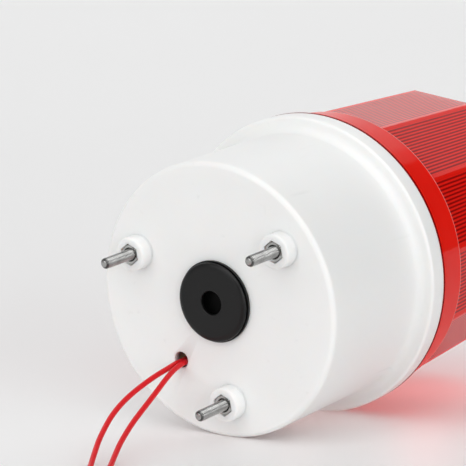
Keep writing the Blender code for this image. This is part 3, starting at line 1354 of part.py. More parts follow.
def lay_down(pieces):
    """Lay the upright pieces on the floor, centred on the origin."""
    pivot = bpy.data.objects.new("laid_down", None)
    bpy.context.scene.collection.objects.link(pivot)
    for piece in pieces:
        piece.parent = pivot
    pivot.rotation_euler = (rest_tilt() - math.pi / 2, 0, 0)
    bpy.context.view_layer.update()
    corners = []
    for piece in pieces:
        if piece.type == "MESH":
            corners += [piece.matrix_world @ vertex.co for vertex in piece.data.vertices]
    low = Vector([min(corner[i] for corner in corners) for i in range(3)])
    high = Vector([max(corner[i] for corner in corners) for i in range(3)])
    pivot.location = (-(low.x + high.x) / 2, -(low.y + high.y) / 2, -low.z)
    bpy.context.view_layer.update()
    return pivot


def coil_path(start, heading, side):
    """Two layers of turns, entered on the floor and left down to it again."""
    pitch = COIL_PITCH
    half_sweep = COIL_TURNS * math.pi
    outer = COIL_RADIUS + pitch * COIL_TURNS / 4
    inner = outer - pitch * COIL_TURNS / 2
    across = Vector((-heading.y, heading.x, 0)) * side
    lead_in = 2 * LEAD_RADIUS
    centre = start + heading * lead_in + across * outer
    first = math.atan2(-across.y, -across.x)
    count = round(COIL_TURNS * COIL_POINTS_PER_TURN)
    points = [start]
    for step in range(count + 1):
        turn = 2 * half_sweep * step / count
        away = abs(turn - half_sweep)
        climb = ease((turn - half_sweep + math.pi / 2) / math.pi)
        radius = inner + pitch * away / (2 * math.pi)
        angle = first + side * turn
        points.append(centre + polar(radius, angle, pitch * climb))
    out = Vector((-math.sin(angle), math.cos(angle), 0)) * side
    top = points[-1]
    for step in range(COIL_TAIL_STEPS):
        share = (step + 1) / COIL_TAIL_STEPS
        fall = ease(share / COIL_FALL_SHARE)
        points.append(top + out * COIL_TAIL * share - Vector((0, 0, pitch * fall)))
    return points


def least_gap(points, diameter):
    """Least gap between stretches of one tube that aren't neighbours along it."""
    least = None
    skip = COIL_POINTS_PER_TURN // 4
    for i, first in enumerate(points):
        for second in points[i + skip :]:
            gap = (second - first).length - diameter
            least = gap if least is None else min(least, gap)
    return least


def supply_leads(pivot):
    """The two leads outside: a free stretch, a coil and a stripped end each."""
    out = (pivot.matrix_world.to_3x3() @ Vector((0, 0, -1))).normalized()
    for name, side, route in (("left", -1, LEFT_ROUTE), ("right", 1, RIGHT_ROUTE)):
        leave = pivot.matrix_world @ lead_exit(side)
        begin = leave + out * SEAT_GAP / 2
        points = [begin, leave + out * LEAD_STRAIGHT] + [Vector(point) for point in route]
        free = smooth_curve(points, LEAD_POINT_SPACING)
        for point in free:
            point.z = max(point.z, LEAD_RADIUS + FLOOR_GAP)
        heading = (free[-1] - free[-2]).normalized()
        coil = coil_path(free[-1] + heading * SEAT_GAP, heading, side)
        tail = (coil[-1] - coil[-2]).normalized()
        tip_start = coil[-1] + tail * SEAT_GAP
        tip = [tip_start, tip_start + tail * STRIPPED_LENGTH / 2, tip_start + tail * STRIPPED_LENGTH]
        wire(f"supply_lead_{name}", [free], LEAD_RADIUS, "lead_red")
        wire(f"supply_coil_{name}", [coil], LEAD_RADIUS, "lead_red", COIL_SIDE_STEPS)
        wire(f"stripped_end_{name}", [tip], STRIPPED_RADIUS, "tinned_copper")
        total = path_length(free) + path_length(coil) + STRIPPED_LENGTH
        gap = least_gap(coil, 2 * LEAD_RADIUS)
        print(f"{name} lead: {total:.4f} m in all, least gap in its coil {gap * 1000:.2f} mm")


def main():
    """Build every piece, lay the beacon down and run its leads over the floor."""
    clear_scene()
    pieces = [base_housing()]
    pieces += mounting_studs()
    pieces += sounder()
    pieces += circuit_board()
    pieces += deck()
    pieces += geared_motor()
    pieces += drive()
    pieces += lamp_holder()
    pieces += lamp()
    rotor_turn = Matrix.Rotation(MOTOR_ANGLE + math.pi, 4, "Z")
    for piece in rotor():
        piece.matrix_basis = rotor_turn @ piece.matrix_basis
        pieces.append(piece)
    pieces += [lens(), lens_seal()]
    pieces += inner_leads()
    pieces += hookup_wires()
    supply_leads(lay_down(pieces))


main()
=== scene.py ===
"""Dressed model of a rotating warning beacon that lies on its side on a pale floor.

The beacon's own frame has x across, y down and z along its axis from the
mounting face (level zero) to the lens. Points are worked out in that frame
and then carried over to the floor's frame. All lengths are in metres.
"""

import json
import math

import bmesh
import bpy
import numpy as np
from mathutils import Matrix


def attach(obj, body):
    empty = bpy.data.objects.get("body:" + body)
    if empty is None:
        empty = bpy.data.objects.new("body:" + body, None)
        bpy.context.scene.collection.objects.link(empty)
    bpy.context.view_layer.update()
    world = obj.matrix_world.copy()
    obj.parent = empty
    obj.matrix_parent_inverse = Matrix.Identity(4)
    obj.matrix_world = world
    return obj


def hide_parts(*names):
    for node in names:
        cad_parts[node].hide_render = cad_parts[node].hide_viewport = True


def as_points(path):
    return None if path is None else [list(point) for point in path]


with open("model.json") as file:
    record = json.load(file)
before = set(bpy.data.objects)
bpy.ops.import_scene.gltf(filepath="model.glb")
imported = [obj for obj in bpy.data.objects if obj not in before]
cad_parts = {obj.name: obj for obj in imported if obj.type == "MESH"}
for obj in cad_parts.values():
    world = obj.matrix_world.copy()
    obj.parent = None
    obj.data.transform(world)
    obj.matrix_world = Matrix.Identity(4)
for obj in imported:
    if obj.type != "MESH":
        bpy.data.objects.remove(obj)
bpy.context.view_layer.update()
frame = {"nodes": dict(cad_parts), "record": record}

bl_info = {
    "name": "Warning Beacon",
    "version": (1, 0, 0),
    "blender": (4, 5, 0),
    "location": "View3D > Sidebar > Beacon",
    "description": "Builds the pieces and finishes of a rotating warning beacon",
    "category": "Add Mesh",
}

# Places of the beacon's own frame, from the mount on the mounting face's bosses.
STUD_MOUNT = next(mount for mount in frame["record"]["mounts"] if mount["name"] == "stud_circle")
BOSS_HEIGHT = 0.0055
LENSWARD = -np.array(STUD_MOUNT["axis"]) / np.linalg.norm(STUD_MOUNT["axis"])
DOWNWARD = np.cross(LENSWARD, (1.0, 0.0, 0.0))
BEACON_AXES = np.array([(1.0, 0.0, 0.0), DOWNWARD, LENSWARD])
FACE_CENTRE = np.array(STUD_MOUNT["pos_m"]) + LENSWARD * BOSS_HEIGHT

# Circles round the axis on which the small pieces stand, and their angles on it.
STUD_CIRCLE = 0.0388
STUD_ANGLES = np.radians((84.0, 204.0, 324.0))
PILLAR_CIRCLE = 0.0410
PILLAR_ANGLES = np.radians((24.0, 144.0, 264.0))
POST_CIRCLE = 0.0292
POST_ANGLES = np.radians((195.0, 270.0, 345.0))
LEAD_CIRCLE = 0.0310
LEAD_ANGLE = math.radians(126.5)
LEAD_HOLE = LEAD_CIRCLE * np.array((math.cos(LEAD_ANGLE), math.sin(LEAD_ANGLE), 0.0))

# Sizes and counts of the small pieces.
PILLAR_RADIUS = 0.0040
PILLAR_TOP = 0.0457
POST_RADIUS = 0.0032
POST_TOP = 0.0107
NUT_ACROSS_FLATS = 0.0070
NUT_HEIGHT = 0.0032
NUT_INSET = 0.0003
LUG_SWEEP = math.radians(32)
LUG_DEPTH = 0.0016
LUG_ROOT = 0.0006
LUG_TOP = 0.0543
LUG_HEIGHT = 0.0022
NECK_RADIUS = 0.0484
SEAT_GAP = 0.0003
FLOOR_GAP = 0.00003
FACET_COUNT = 12
RIB_COUNT = 19

LEFT_ROUTE = (
    (-0.0191, -0.0726, 0.0253),
    (-0.0190, -0.0802, 0.0237),
    (-0.0188, -0.0878, 0.0217),
    (-0.0184, -0.0953, 0.0195),
    (-0.0176, -0.1026, 0.0170),
    (-0.0162, -0.1098, 0.0141),
    (-0.0141, -0.1166, 0.0110),
    (-0.0115, -0.1233, 0.0079),
    (-0.0083, -0.1298, 0.0049),
    (-0.0047, -0.1364, 0.0023),
    (-0.0008, -0.1431, 0.00108),
    (0.0032, -0.1500, 0.00108),
    (0.0073, -0.1570, 0.00108),
    (0.0098, -0.1613, 0.00108),
)
RIGHT_ROUTE = (
    (-0.0163, -0.0721, 0.0251),
    (-0.0150, -0.0790, 0.0227),
    (-0.0135, -0.0858, 0.0200),
    (-0.0121, -0.0926, 0.0173),
    (-0.0107, -0.0994, 0.0146),
    (-0.0092, -0.1061, 0.0120),
    (-0.0072, -0.1128, 0.0094),
    (-0.0049, -0.1194, 0.0068),
    (-0.0021, -0.1258, 0.0043),
    (0.0010, -0.1323, 0.0021),
    (0.0042, -0.1389, 0.00108),
    (0.0075, -0.1456, 0.00108),
    (0.0111, -0.1521, 0.00108),
    (0.0133, -0.1562, 0.00108),
)


def length_property(name, description, default):
    """A length that the user may change."""
    return bpy.props.FloatProperty(
        name=name, description=description, default=default, min=0.0, unit="LENGTH", precision=5
    )


def colour_property(name, description, default):
    """A colour that the user may change."""
    return bpy.props.FloatVectorProperty(
        name=name, description=description, default=(*default, 1.0), size=4, min=0.0, max=1.0, subtype="COLOR"
    )


class BeaconStageSettings(bpy.types.PropertyGroup):
    """Floor and backdrop."""

    floor_colour: colour_property("Floor", "Colour of the floor", (0.87, 0.87, 0.87))
    backdrop_colour: colour_property("Backdrop", "Colour seen behind the floor", (0.83, 0.83, 0.83))
    floor_reach: length_property("Floor reach", "Half width of the floor", 9.0)


class BeaconLeadSettings(bpy.types.PropertyGroup):
    """Supply leads."""

    radius: length_property("Radius", "Radius of the insulation", 0.00105)
    core_radius: length_property("Core radius", "Radius of the stripped core", 0.0006)
    stripped_length: length_property("Stripped length", "Length of bare core at the end", 0.0070)
    colour: colour_property("Insulation", "Colour of the insulation", (0.67, 0.012, 0.018))
    core_colour: colour_property("Core", "Colour of the tinned core", (0.74, 0.72, 0.68))


class BeaconHousingSettings(bpy.types.PropertyGroup):
    """White base housing."""

    face_radius: length_property("Face radius", "Radius of the mounting face", 0.0530)
    face_round: length_property("Face round", "Rounding of the face's edge", 0.0020)
    wall: length_property("Wall", "Thickness of the side wall", 0.0026)
    height: length_property("Height", "Height of the base", 0.0660)
    flange_radius: length_property("Flange radius", "Radius of the flange below the lens", 0.0590)
    flange_land: length_property("Flange land", "Height of the flange's rim", 0.0068)
    flange_fillet: length_property("Flange fillet", "Hollow rounding below the flange", 0.0035)
    boss_radius: length_property("Boss radius", "Radius of the bosses round the studs", 0.0066)
    colour: colour_property("Housing", "Colour of the base housing", (0.86, 0.86, 0.85))


class BeaconStudSettings(bpy.types.PropertyGroup):
    """Mounting studs and nuts."""

    radius: length_property("Stud radius", "Outer radius of the thread", 0.00212)
    reach: length_property("Stud reach", "How far a stud stands out of the face", 0.0208)
    pitch: length_property("Thread pitch", "Distance from thread to thread", 0.0007)
    across_flats: length_property("Across flats", "Width of the nut across its flats", NUT_ACROSS_FLATS)
    nut_height: length_property("Nut height", "Height of the nut", NUT_HEIGHT)
    colour: colour_property("Steel", "Colour of the plated steel", (0.50, 0.50, 0.49))


class BeaconSounderSettings(bpy.types.PropertyGroup):
    """Sounder in the mounting face."""

    radius: length_property("Radius", "Radius of the sounder's cover", 0.0152)
    proud: length_property("Proud", "How far the cover stands out of the face", 0.0032)
    hole_radius: length_property("Hole radius", "Radius of the sound hole", 0.0046)
    bevel: length_property("Bevel", "Width of the cover's bevel", 0.0022)
    colour: colour_property("Cover", "Colour of the cover", (0.0028, 0.0028, 0.0030))


class BeaconLensSettings(bpy.types.PropertyGroup):
    """Red lens."""

    collar_radius: length_property("Collar radius", "Radius of the round collar", 0.0564)
    collar_top: length_property("Collar top", "Level of the collar's top", 0.0830)
    top: length_property("Top", "Level of the lens's top", 0.1538)
    taper: length_property("Taper", "How much the body's radius shrinks to the top", 0.0034)
    wall: length_property("Wall", "Thickness of the lens", 0.0018)
    colour: colour_property("Lens", "Colour of the lens", (0.97, 0.012, 0.006))
    # Painted shade laid in the grooves between the lens's inner ribs.
    painted_groove_shade: colour_property("Ribs", "Colour in the grooves between the ribs", (0.19, 0.002, 0.002))


class BeaconInsideSettings(bpy.types.PropertyGroup):
    """Finishes of the reflector, the brass, the board and the gears."""

    mirror_colour: colour_property("Mirror", "Colour of the mirror coat", (0.86, 0.87, 0.88))
    brass_colour: colour_property("Brass", "Colour of the brass pieces", (0.72, 0.52, 0.20))
    board_colour: colour_property("Board", "Colour of the circuit board", (0.020, 0.16, 0.055))
    nylon_colour: colour_property("Nylon", "Colour of the nylon gears", (0.78, 0.76, 0.70))


def to_floor(points):
    """Floor-frame places of beacon-frame points: the face's centre plus each coordinate along its axis."""
    return FACE_CENTRE + np.asarray(points) @ BEACON_AXES


def arc(centre, radius, start, end, steps):
    """Section points on a circle: centre plus the radius times cosine and sine of evenly spread angles."""
    turns = np.radians(np.linspace(start, end, steps + 1))
    return np.column_stack((centre[0] + radius * np.cos(turns), centre[1] + radius * np.sin(turns)))


def section(*pieces):
    """One run of radius and level pairs from single pairs and arcs."""
    return np.vstack([np.atleast_2d(np.asarray(piece, float)) for piece in pieces])


def full_turn(steps, start=0.0):
    """Evenly spread angles over one turn, with the first repeated at the end."""
    return start + np.linspace(0.0, 2 * math.pi, steps + 1)


def turned(away, turns, level):
    """Points round the axis: x is the distance times the angle's cosine, y times its sine, z is the level."""
    return np.stack(np.broadcast_arrays(away * np.cos(turns), away * np.sin(turns), level), axis=-1)


def lathe(outline, turns, factor=1.0):
    """Surface of revolution of radius and level pairs. The factor scales the radius, also angle by angle."""
    return turned(outline[:, :1] * factor, turns, outline[:, 1:])


def polygon_share(turns, sides, corner):
    """Radius of a regular outline as a share of its corner radius.

    It is the cosine of half a side over the cosine of the angle from the side's middle.
    """
    side = 2 * math.pi / sides
    away = np.mod(turns - corner, side) - side / 2
    return math.cos(side / 2) / np.cos(away)


def hexagon(across_flats, turns, corner, gap=0.0):
    """Radius of a hexagon at each angle: half its width over the cosine of 30 degrees, times the share."""
    return (across_flats / 2 / math.cos(math.pi / 6) + gap) * polygon_share(turns, 6, corner)


def ring_places(radius, angles):
    """Beacon-frame places on a circle at given angles."""
    return turned(radius, angles, 0.0)


def surface_coordinates(grid):
    """Lengths along the first direction, and shares of the way round along the second."""
    steps = np.linalg.norm(np.diff(grid, axis=0), axis=-1).mean(axis=1)
    along = np.concatenate(([0.0], np.cumsum(steps)))
    across = np.linspace(0.0, 1.0, grid.shape[1])
    return np.stack(np.broadcast_arrays(across[None, :], along[:, None]), axis=-1)


def mesh_of(name, grids, coordinates=None, sharp=35.0, **marks):
    """One mesh from grids of points: each cell is a face, and places that coincide are merged.

    Coordinates are pairs of surface lengths and shares, and marks are values at the points.
    """
    faces, count = [], 0
    for grid in grids:
        rows, columns = grid.shape[:2]
        index = count + np.arange(rows * columns).reshape(rows, columns)
        corners = (index[:-1, :-1], index[:-1, 1:], index[1:, 1:], index[1:, :-1])
        faces.append(np.stack(corners, axis=-1).reshape(-1, 4))
        count += rows * columns
    faces = np.vstack(faces)
    maps = [pairs.reshape(-1, 2) for pairs in coordinates or map(surface_coordinates, grids)]
    mesh = bpy.data.meshes.new(name)
    mesh.from_pydata(np.vstack([grid.reshape(-1, 3) for grid in grids]), [], faces)
    uv = mesh.uv_layers.new(name="along")
    uv.data.foreach_set("uv", np.vstack(maps)[faces.reshape(-1)].astype(np.float32).reshape(-1))
    for mark, layers in marks.items():
        spread = [np.broadcast_to(layer, grid.shape[:2]).reshape(-1) for layer, grid in zip(layers, grids)]
        values = np.concatenate(spread).astype(np.float32)
        mesh.attributes.new(mark, "FLOAT", "POINT").data.foreach_set("value", values)
    bm = bmesh.new()
    bm.from_mesh(mesh)
    bmesh.ops.remove_doubles(bm, verts=bm.verts, dist=2e-6)
    bmesh.ops.dissolve_degenerate(bm, edges=bm.edges, dist=1e-6)
    bmesh.ops.recalc_face_normals(bm, faces=bm.faces)
    bm.to_mesh(mesh)
    bm.free()
    mesh.shade_smooth()
    mesh.set_sharp_from_angle(angle=math.radians(sharp))
    return mesh


def object_of(name, mesh):
    """A new object of the scene with a mesh."""
    made = bpy.data.objects.new(name, mesh)
    bpy.context.scene.collection.objects.link(made)
    return made


def piece_of(name, mesh, finish, body, slot, *nodes):
    """Put a mesh into the scene as a piece that rides on a body and stands for CAD nodes."""
    mesh.materials.clear()
    mesh.materials.append(finish)
    piece = object_of(name, mesh)
    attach(piece, body)
    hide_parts(*nodes)
    return piece


def eased(share):
    """A share eased at both ends: three times its square less twice its cube, within zero and one."""
    share = np.clip(share, 0.0, 1.0)
    return share * share * (3 - 2 * share)


def unit(direction):
    """A direction with a length of one."""
    return direction / np.linalg.norm(direction)


def walked_lengths(path):
    """The length along a path up to each of its points."""
    return np.concatenate(([0.0], np.cumsum(np.linalg.norm(np.diff(path, axis=0), axis=1))))


def evenly_spaced(points, spacing):
    """The same line with points at an even spacing along it."""
    walked = walked_lengths(points)
    wanted = np.linspace(0.0, walked[-1], max(3, round(walked[-1] / spacing)) + 1)
    return np.column_stack([np.interp(wanted, walked, points[:, axis]) for axis in range(3)])


def smooth_line(route, spacing, steps=40):
    """A cubic through every point of a route, along half the way between a point's neighbours there."""
    route = np.asarray(route, float)
    ends = np.vstack((2 * route[0] - route[1], route, 2 * route[-1] - route[-2]))
    share = (np.arange(steps) + 1)[None, :, None] / steps
    first, second = ends[1:-2, None], ends[2:-1, None]
    leaving = (ends[2:-1] - ends[:-3])[:, None] / 2
    arriving = (ends[3:] - ends[1:-2])[:, None] / 2
    place = first + (second - first) * eased(share)
    place = place + leaving * share * (1 - share) ** 2 - arriving * share**2 * (1 - share)
    return evenly_spaced(np.vstack((route[:1], place.reshape(-1, 3))), spacing)


def tube(path, radii, sides, swell=0.0, lobes=1, twist=0.0):
    """A tube: path plus radius times cosine and sine along two directions square to it.

    The radius swells by the cosine of the lobes times the angle, less the twist times the length walked.
    """
    forward = np.gradient(path, axis=0)
    forward = forward / np.linalg.norm(forward, axis=1)[:, None]
    side = np.cross(forward, (0.0, 0.0, 1.0))
    side = side / np.linalg.norm(side, axis=1)[:, None]
    up = np.cross(side, forward)
    turns = full_turn(sides)
    away = radii[:, None] * (1 + swell * np.cos(lobes * turns - twist * walked_lengths(path)[:, None]))
    ring = np.cos(turns)[None, :, None] * side[:, None] + np.sin(turns)[None, :, None] * up[:, None]
    return path[:, None, :] + away[:, :, None] * ring


def closed_ends(path, radius, round_share):
    """Path and radii of a tube whose ends are a little rounded and closed to a point a hair further out."""
    hair_share = 0.05
    radii = np.full(len(path), radius)
    radii[[0, -1]] = radius * (1 - round_share)
    first = path[0] - (path[1] - path[0]) * hair_share
    last = path[-1] + (path[-1] - path[-2]) * hair_share
    return np.vstack((first, path, last)), np.concatenate(([0.0], radii, [0.0]))


def coil_line(start, heading, side, radius):
    """A flat winding in two layers, entered on the floor and left down to it.

    The radius shrinks and grows again by a pitch a turn, and the level climbs a pitch half-way through.
    """
    coil_radius, pitch, turns, tail = 0.0106, 0.00265, 3, 0.0160
    outer = coil_radius + pitch * turns / 4
    inner = outer - pitch * turns / 2
    across = np.array((-heading[1], heading[0], 0.0)) * side
    centre = start + heading * 2 * radius + across * outer
    first = math.atan2(-across[1], -across[0])
    half = turns * math.pi
    turn = np.linspace(0.0, 2 * half, turns * 72 + 1)
    climb = eased((turn - half + math.pi / 2) / math.pi)
    away = inner + pitch * np.abs(turn - half) / (2 * math.pi)
    angle = first + side * turn
    ring = turned(away, angle, pitch * climb)
    out = np.array((-math.sin(angle[-1]), math.cos(angle[-1]), 0.0)) * side
    share = np.linspace(0.0, 1.0, 19)[1:, None]
    fall = eased(share / 0.75) * np.array((0.0, 0.0, pitch))
    last = centre + ring[-1] + out * tail * share - fall
    return np.vstack((start, centre + ring, last))


def set_inputs(tree, node, values):
    """Link a node's inputs to sockets or set them to constants, by name or number."""
    for key, value in values.items():
        if isinstance(value, bpy.types.NodeSocket):
            tree.links.new(value, node.inputs[key])
        else:
            node.inputs[key].default_value = value


def add_node(tree, kind, inputs=(), **settings):
    """The outputs of a new node with its settings and inputs."""
    made = tree.nodes.new(kind)
    for key, value in settings.items():
        setattr(made, key, value)
    set_inputs(tree, made, dict(inputs))
    return made.outputs


def calculated(tree, operation, *values):
    """The result of one operation on sockets and numbers."""
    return add_node(tree, "ShaderNodeMath", enumerate(values), operation=operation)["Value"]


def mixed(tree, factor, first, second):
    """A colour between two, by a factor."""
    return add_node(tree, "ShaderNodeMix", {0: factor, 6: first, 7: second}, data_type="RGBA")[2]


def ranged(tree, value, low, high, start=0.0, end=1.0, easing="LINEAR"):
    """A value carried from the span between start and end to the one between low and high."""
    spans = {"Value": value, "From Min": start, "From Max": end, "To Min": low, "To Max": high}
    return add_node(tree, "ShaderNodeMapRange", spans, interpolation_type=easing)["Result"]


def bump(tree, height, distance, strength=1.0):
    """The normal of a surface with a height on it."""
    values = {"Height": height, "Distance": distance, "Strength": strength}
    return add_node(tree, "ShaderNodeBump", values)["Normal"]


def attribute(tree, name):
    """The marks of a piece's points."""
    return add_node(tree, "ShaderNodeAttribute", attribute_name=name)["Fac"]


def surface_map(tree):
    """The piece's own surface coordinates."""
    return add_node(tree, "ShaderNodeUVMap", uv_map="along")["UV"]


def chosen(tree, ray, first, second):
    """The second shader for one kind of ray, and the first for all others."""
    is_ray = add_node(tree, "ShaderNodeLightPath")[ray]
    return add_node(tree, "ShaderNodeMixShader", {0: is_ray, 1: first, 2: second})[0]


def shaded(colour, factor):
    """A colour made darker or lighter by a factor."""
    return (*(min(1.0, channel * factor) for channel in colour[:3]), 1.0)


def new_group(name, inputs, outputs):
    """An empty shader group with the values that it is given and the node that takes its results."""
    group = bpy.data.node_groups.new(name, "ShaderNodeTree")
    for label, default in inputs:
        socket = group.interface.new_socket(label, in_out="INPUT", socket_type="NodeSocketFloat")
        socket.default_value = default
    for label in outputs:
        group.interface.new_socket(label, in_out="OUTPUT", socket_type="NodeSocketFloat")
    return group, group.nodes.new("NodeGroupInput").outputs, group.nodes.new("NodeGroupOutput")


def grain_group():
    """Moulded or rolled grain: fine and broad noise in object space, as a height and a slow mottle."""
    found = bpy.data.node_groups.get("surface_grain")
    if found:
        return found
    group, given, target = new_group(
        "surface_grain", (("Scale", 900.0), ("Broad scale", 30.0)), ("Height", "Mottle")
    )
    place = add_node(group, "ShaderNodeTexCoord")["Object"]
    waves = {"Vector": place, "Scale": given["Scale"], "Detail": 3.0}
    clouds = {"Vector": place, "Scale": given["Broad scale"], "Detail": 2.0}
    fine, broad = (add_node(group, "ShaderNodeTexNoise", noise)["Fac"] for noise in (waves, clouds))
    spread = ranged(group, broad, 0.0, 1.0, 0.15, 0.85, "SMOOTHERSTEP")
    set_inputs(group, target, {"Height": fine, "Mottle": spread})
    return group


def scratch_group():
    """Fine straight scratches: noise that is stretched far along one direction, cut off above a threshold."""
    found = bpy.data.node_groups.get("fine_scratches")
    if found:
        return found
    group, given, target = new_group("fine_scratches", (("Scale", 400.0), ("Threshold", 0.62)), ("Mask",))
    place = add_node(group, "ShaderNodeTexCoord")["Object"]
    stretch = {"Vector": place, "Rotation": (0.3, 0.2, 0.9), "Scale": (1.0, 0.03, 1.0)}
    stretched = add_node(group, "ShaderNodeMapping", stretch)["Vector"]
    waves = {"Vector": stretched, "Scale": given["Scale"], "Detail": 2.0}
    noise = add_node(group, "ShaderNodeTexNoise", waves)["Fac"]
    set_inputs(group, target, {"Mask": ranged(group, noise, 0.0, 1.0, given["Threshold"], 0.85)})
    return group


def new_finish(name):
    """A new node material with its tree and its Principled shader."""
    finish = bpy.data.materials.new(name)
    finish.use_nodes = True
    return finish, finish.node_tree, finish.node_tree.nodes["Principled BSDF"]


def grained(name, dark, light, rough, fine, broad):
    """A new material whose colour and roughness drift between two values with a slow mottle.

    Gives the material, its tree, its shader, the drifting colour and the height of the fine grain.
    """
    finish, tree, shader = new_finish(name)
    scales = {"Scale": fine, "Broad scale": broad}
    grains = add_node(tree, "ShaderNodeGroup", scales, node_tree=grain_group())
    tone = mixed(tree, grains["Mottle"], dark, light)
    set_inputs(tree, shader, {"Base Color": tone, "Roughness": ranged(tree, grains["Mottle"], *rough)})
    return finish, tree, shader, tone, grains["Height"]


def scratched(tree, tone, mark, scale, threshold):
    """A colour with scratches in another colour, and the scratches' mask."""
    values = {"Scale": scale, "Threshold": threshold}
    mask = add_node(tree, "ShaderNodeGroup", values, node_tree=scratch_group())["Mask"]
    return mixed(tree, mask, tone, mark), mask


def plastic(name, colour, rough=(0.28, 0.40), fine=900.0, depth=0.00001, coat=0.0, mottle=0.05, shine=0.5):
    """Moulded plastic: faint grain, slow mottling of colour and gloss."""
    dark, light = shaded(colour, 1 - mottle), shaded(colour, 1 + mottle)
    finish, tree, shader, _, height = grained(name, dark, light, rough, fine, 45.0)
    gloss = {"Specular IOR Level": shine, "Coat Weight": coat, "Coat Roughness": 0.08}
    set_inputs(tree, shader, {**gloss, "Normal": bump(tree, height, depth)})
    return finish


def metal(name, colour, rough=(0.22, 0.38)):
    """Metal with drawn scratches and patches of differing gloss."""
    dark, light = shaded(colour, 0.75), shaded(colour, 1.125)
    finish, tree, shader, tone, _ = grained(name, dark, light, rough, 1500.0, 160.0)
    marked, mask = scratched(tree, tone, shaded(colour, 0.6), 500.0, 0.56)
    set_inputs(tree, shader, {"Base Color": marked, "Metallic": 1.0, "Normal": bump(tree, mask, 0.000008)})
    return finish


def housing_finish(colour):
    """White moulded plastic, semi-gloss and a little translucent, with faint scuffs."""
    dark, light = shaded(colour, 0.985), shaded(colour, 1.015)
    finish, tree, shader, tone, height = grained("white_housing", dark, light, (0.36, 0.44), 1400.0, 22.0)
    marked, _ = scratched(tree, tone, shaded(colour, 0.93), 260.0, 0.68)
    values = {
        "Base Color": marked,
        "Subsurface Weight": 0.30,
        "Subsurface Radius": (0.004, 0.003, 0.0025),
        "Subsurface Scale": 1.0,
        "Normal": bump(tree, height, 0.000006),
    }
    set_inputs(tree, shader, values)
    return finish


def lens_finish(colour, groove):
    """Red plastic, glossy outside, whose inner ribs show as light and dark lines along each facet; the dark
    is painted shade.

    The crest mark is one on the facets and minus one on the seat, painted near black as shadow; the edge mark
    is a painted highlight.
    Light that falls through the lens is tinted.
    """
    dark, light = shaded(colour, 0.95), shaded(colour, 1.05)
    finish, tree, shader, tone, _ = grained("red_lens", dark, light, (0.30, 0.40), 700.0, 35.0)
    across = add_node(tree, "ShaderNodeSeparateXYZ", {"Vector": surface_map(tree)})["X"]
    crest = attribute(tree, "crest")
    half = 0.5 / RIB_COUNT
    rib = ranged(tree, calculated(tree, "PINGPONG", across, half), 0.0, 1.0, 0.0, half)
    facet = ranged(tree, crest, 0.0, 1.0, 0.4, 0.6)
    seat = ranged(tree, crest, 0.0, 1.0, -0.4, -0.6)
    ribbed = calculated(tree, "MULTIPLY", calculated(tree, "COMPARE", across, 0.5, 0.46), facet)
    shown = calculated(tree, "MULTIPLY", ranged(tree, rib, 0.0, 1.0, 0.3, 0.8), ribbed)
    # Painted shade: the grooves between the ribs take the dark groove colour, away from the facets' edges.
    lined = mixed(tree, shown, mixed(tree, facet, tone, shaded(colour, 0.90)), groove)
    # Painted highlight: a pale pink laid on the collar's rounded top edge and the facets' first row, where
    # the edge mark is one.
    painted_edge_highlight = ranged(tree, attribute(tree, "edge"), 0.0, 0.7, 0.5, 0.9)
    lit = mixed(tree, painted_edge_highlight, lined, (0.90, 0.34, 0.32, 1.0))
    values = {
        # Painted shade: the seat is darkened to six hundredths of the red, a shadow line between the rim and
        # the collar.
        "Base Color": mixed(tree, seat, lit, shaded(colour, 0.06)),
        "Specular IOR Level": 0.0,
        "Coat Weight": ranged(tree, seat, 0.75, 0.0),
        "Coat Roughness": 0.05,
        "Coat IOR": 1.40,
        "Transmission Weight": 0.10,
        "Subsurface Weight": 0.55,
        "Subsurface Radius": (0.030, 0.0015, 0.0015),
        "Subsurface Scale": 1.0,
        "IOR": 1.49,
        "Normal": bump(tree, calculated(tree, "MULTIPLY", rib, ribbed), 0.00022, 0.6),
    }
    set_inputs(tree, shader, values)
    film = add_node(tree, "ShaderNodeBsdfTransparent", {"Color": (0.97, 0.40, 0.38, 1.0)})[0]
    passed = chosen(tree, "Is Shadow Ray", shader.outputs[0], film)
    set_inputs(tree, tree.nodes["Material Output"], {"Surface": passed})
    return finish


def thread_finish(colour):
    """Zinc-plated steel, bright on its thread's crests, with painted shade darkening its grooves."""
    dark, light = shaded(colour, 0.75), shaded(colour, 1.2)
    finish, tree, shader, tone, height = grained("zinc_steel", dark, light, (0.14, 0.26), 2200.0, 260.0)
    marked, _ = scratched(tree, tone, shaded(colour, 0.5), 900.0, 0.58)
    # Painted shade: by the crest mark, the colour falls to under a fifth of the steel's in the thread's
    # grooves.
    groove_shaded_steel = mixed(tree, attribute(tree, "crest"), shaded(colour, 0.18), marked)
    set_inputs(tree, shader, {"Base Color": groove_shaded_steel, "Metallic": 1.0, "Normal": bump(tree, height, 0.00001)})
    return finish


def insulation_finish(colour):
    """Glossy soft plastic with a faint wave along its length."""
    finish, tree, shader = new_finish("lead_red")
    stretch = {"Vector": surface_map(tree), "Scale": (3.0, 120.0, 1.0)}
    stretched = add_node(tree, "ShaderNodeMapping", stretch)["Vector"]
    wave = add_node(tree, "ShaderNodeTexNoise", {"Vector": stretched, "Scale": 1.0, "Detail": 2.0})["Fac"]
    values = {
        "Base Color": mixed(tree, wave, shaded(colour, 0.88), shaded(colour, 1.1)),
        "Roughness": ranged(tree, wave, 0.24, 0.36),
        "Specular IOR Level": 0.16,
        "Normal": bump(tree, wave, 0.00004),
    }
    set_inputs(tree, shader, values)
    return finish


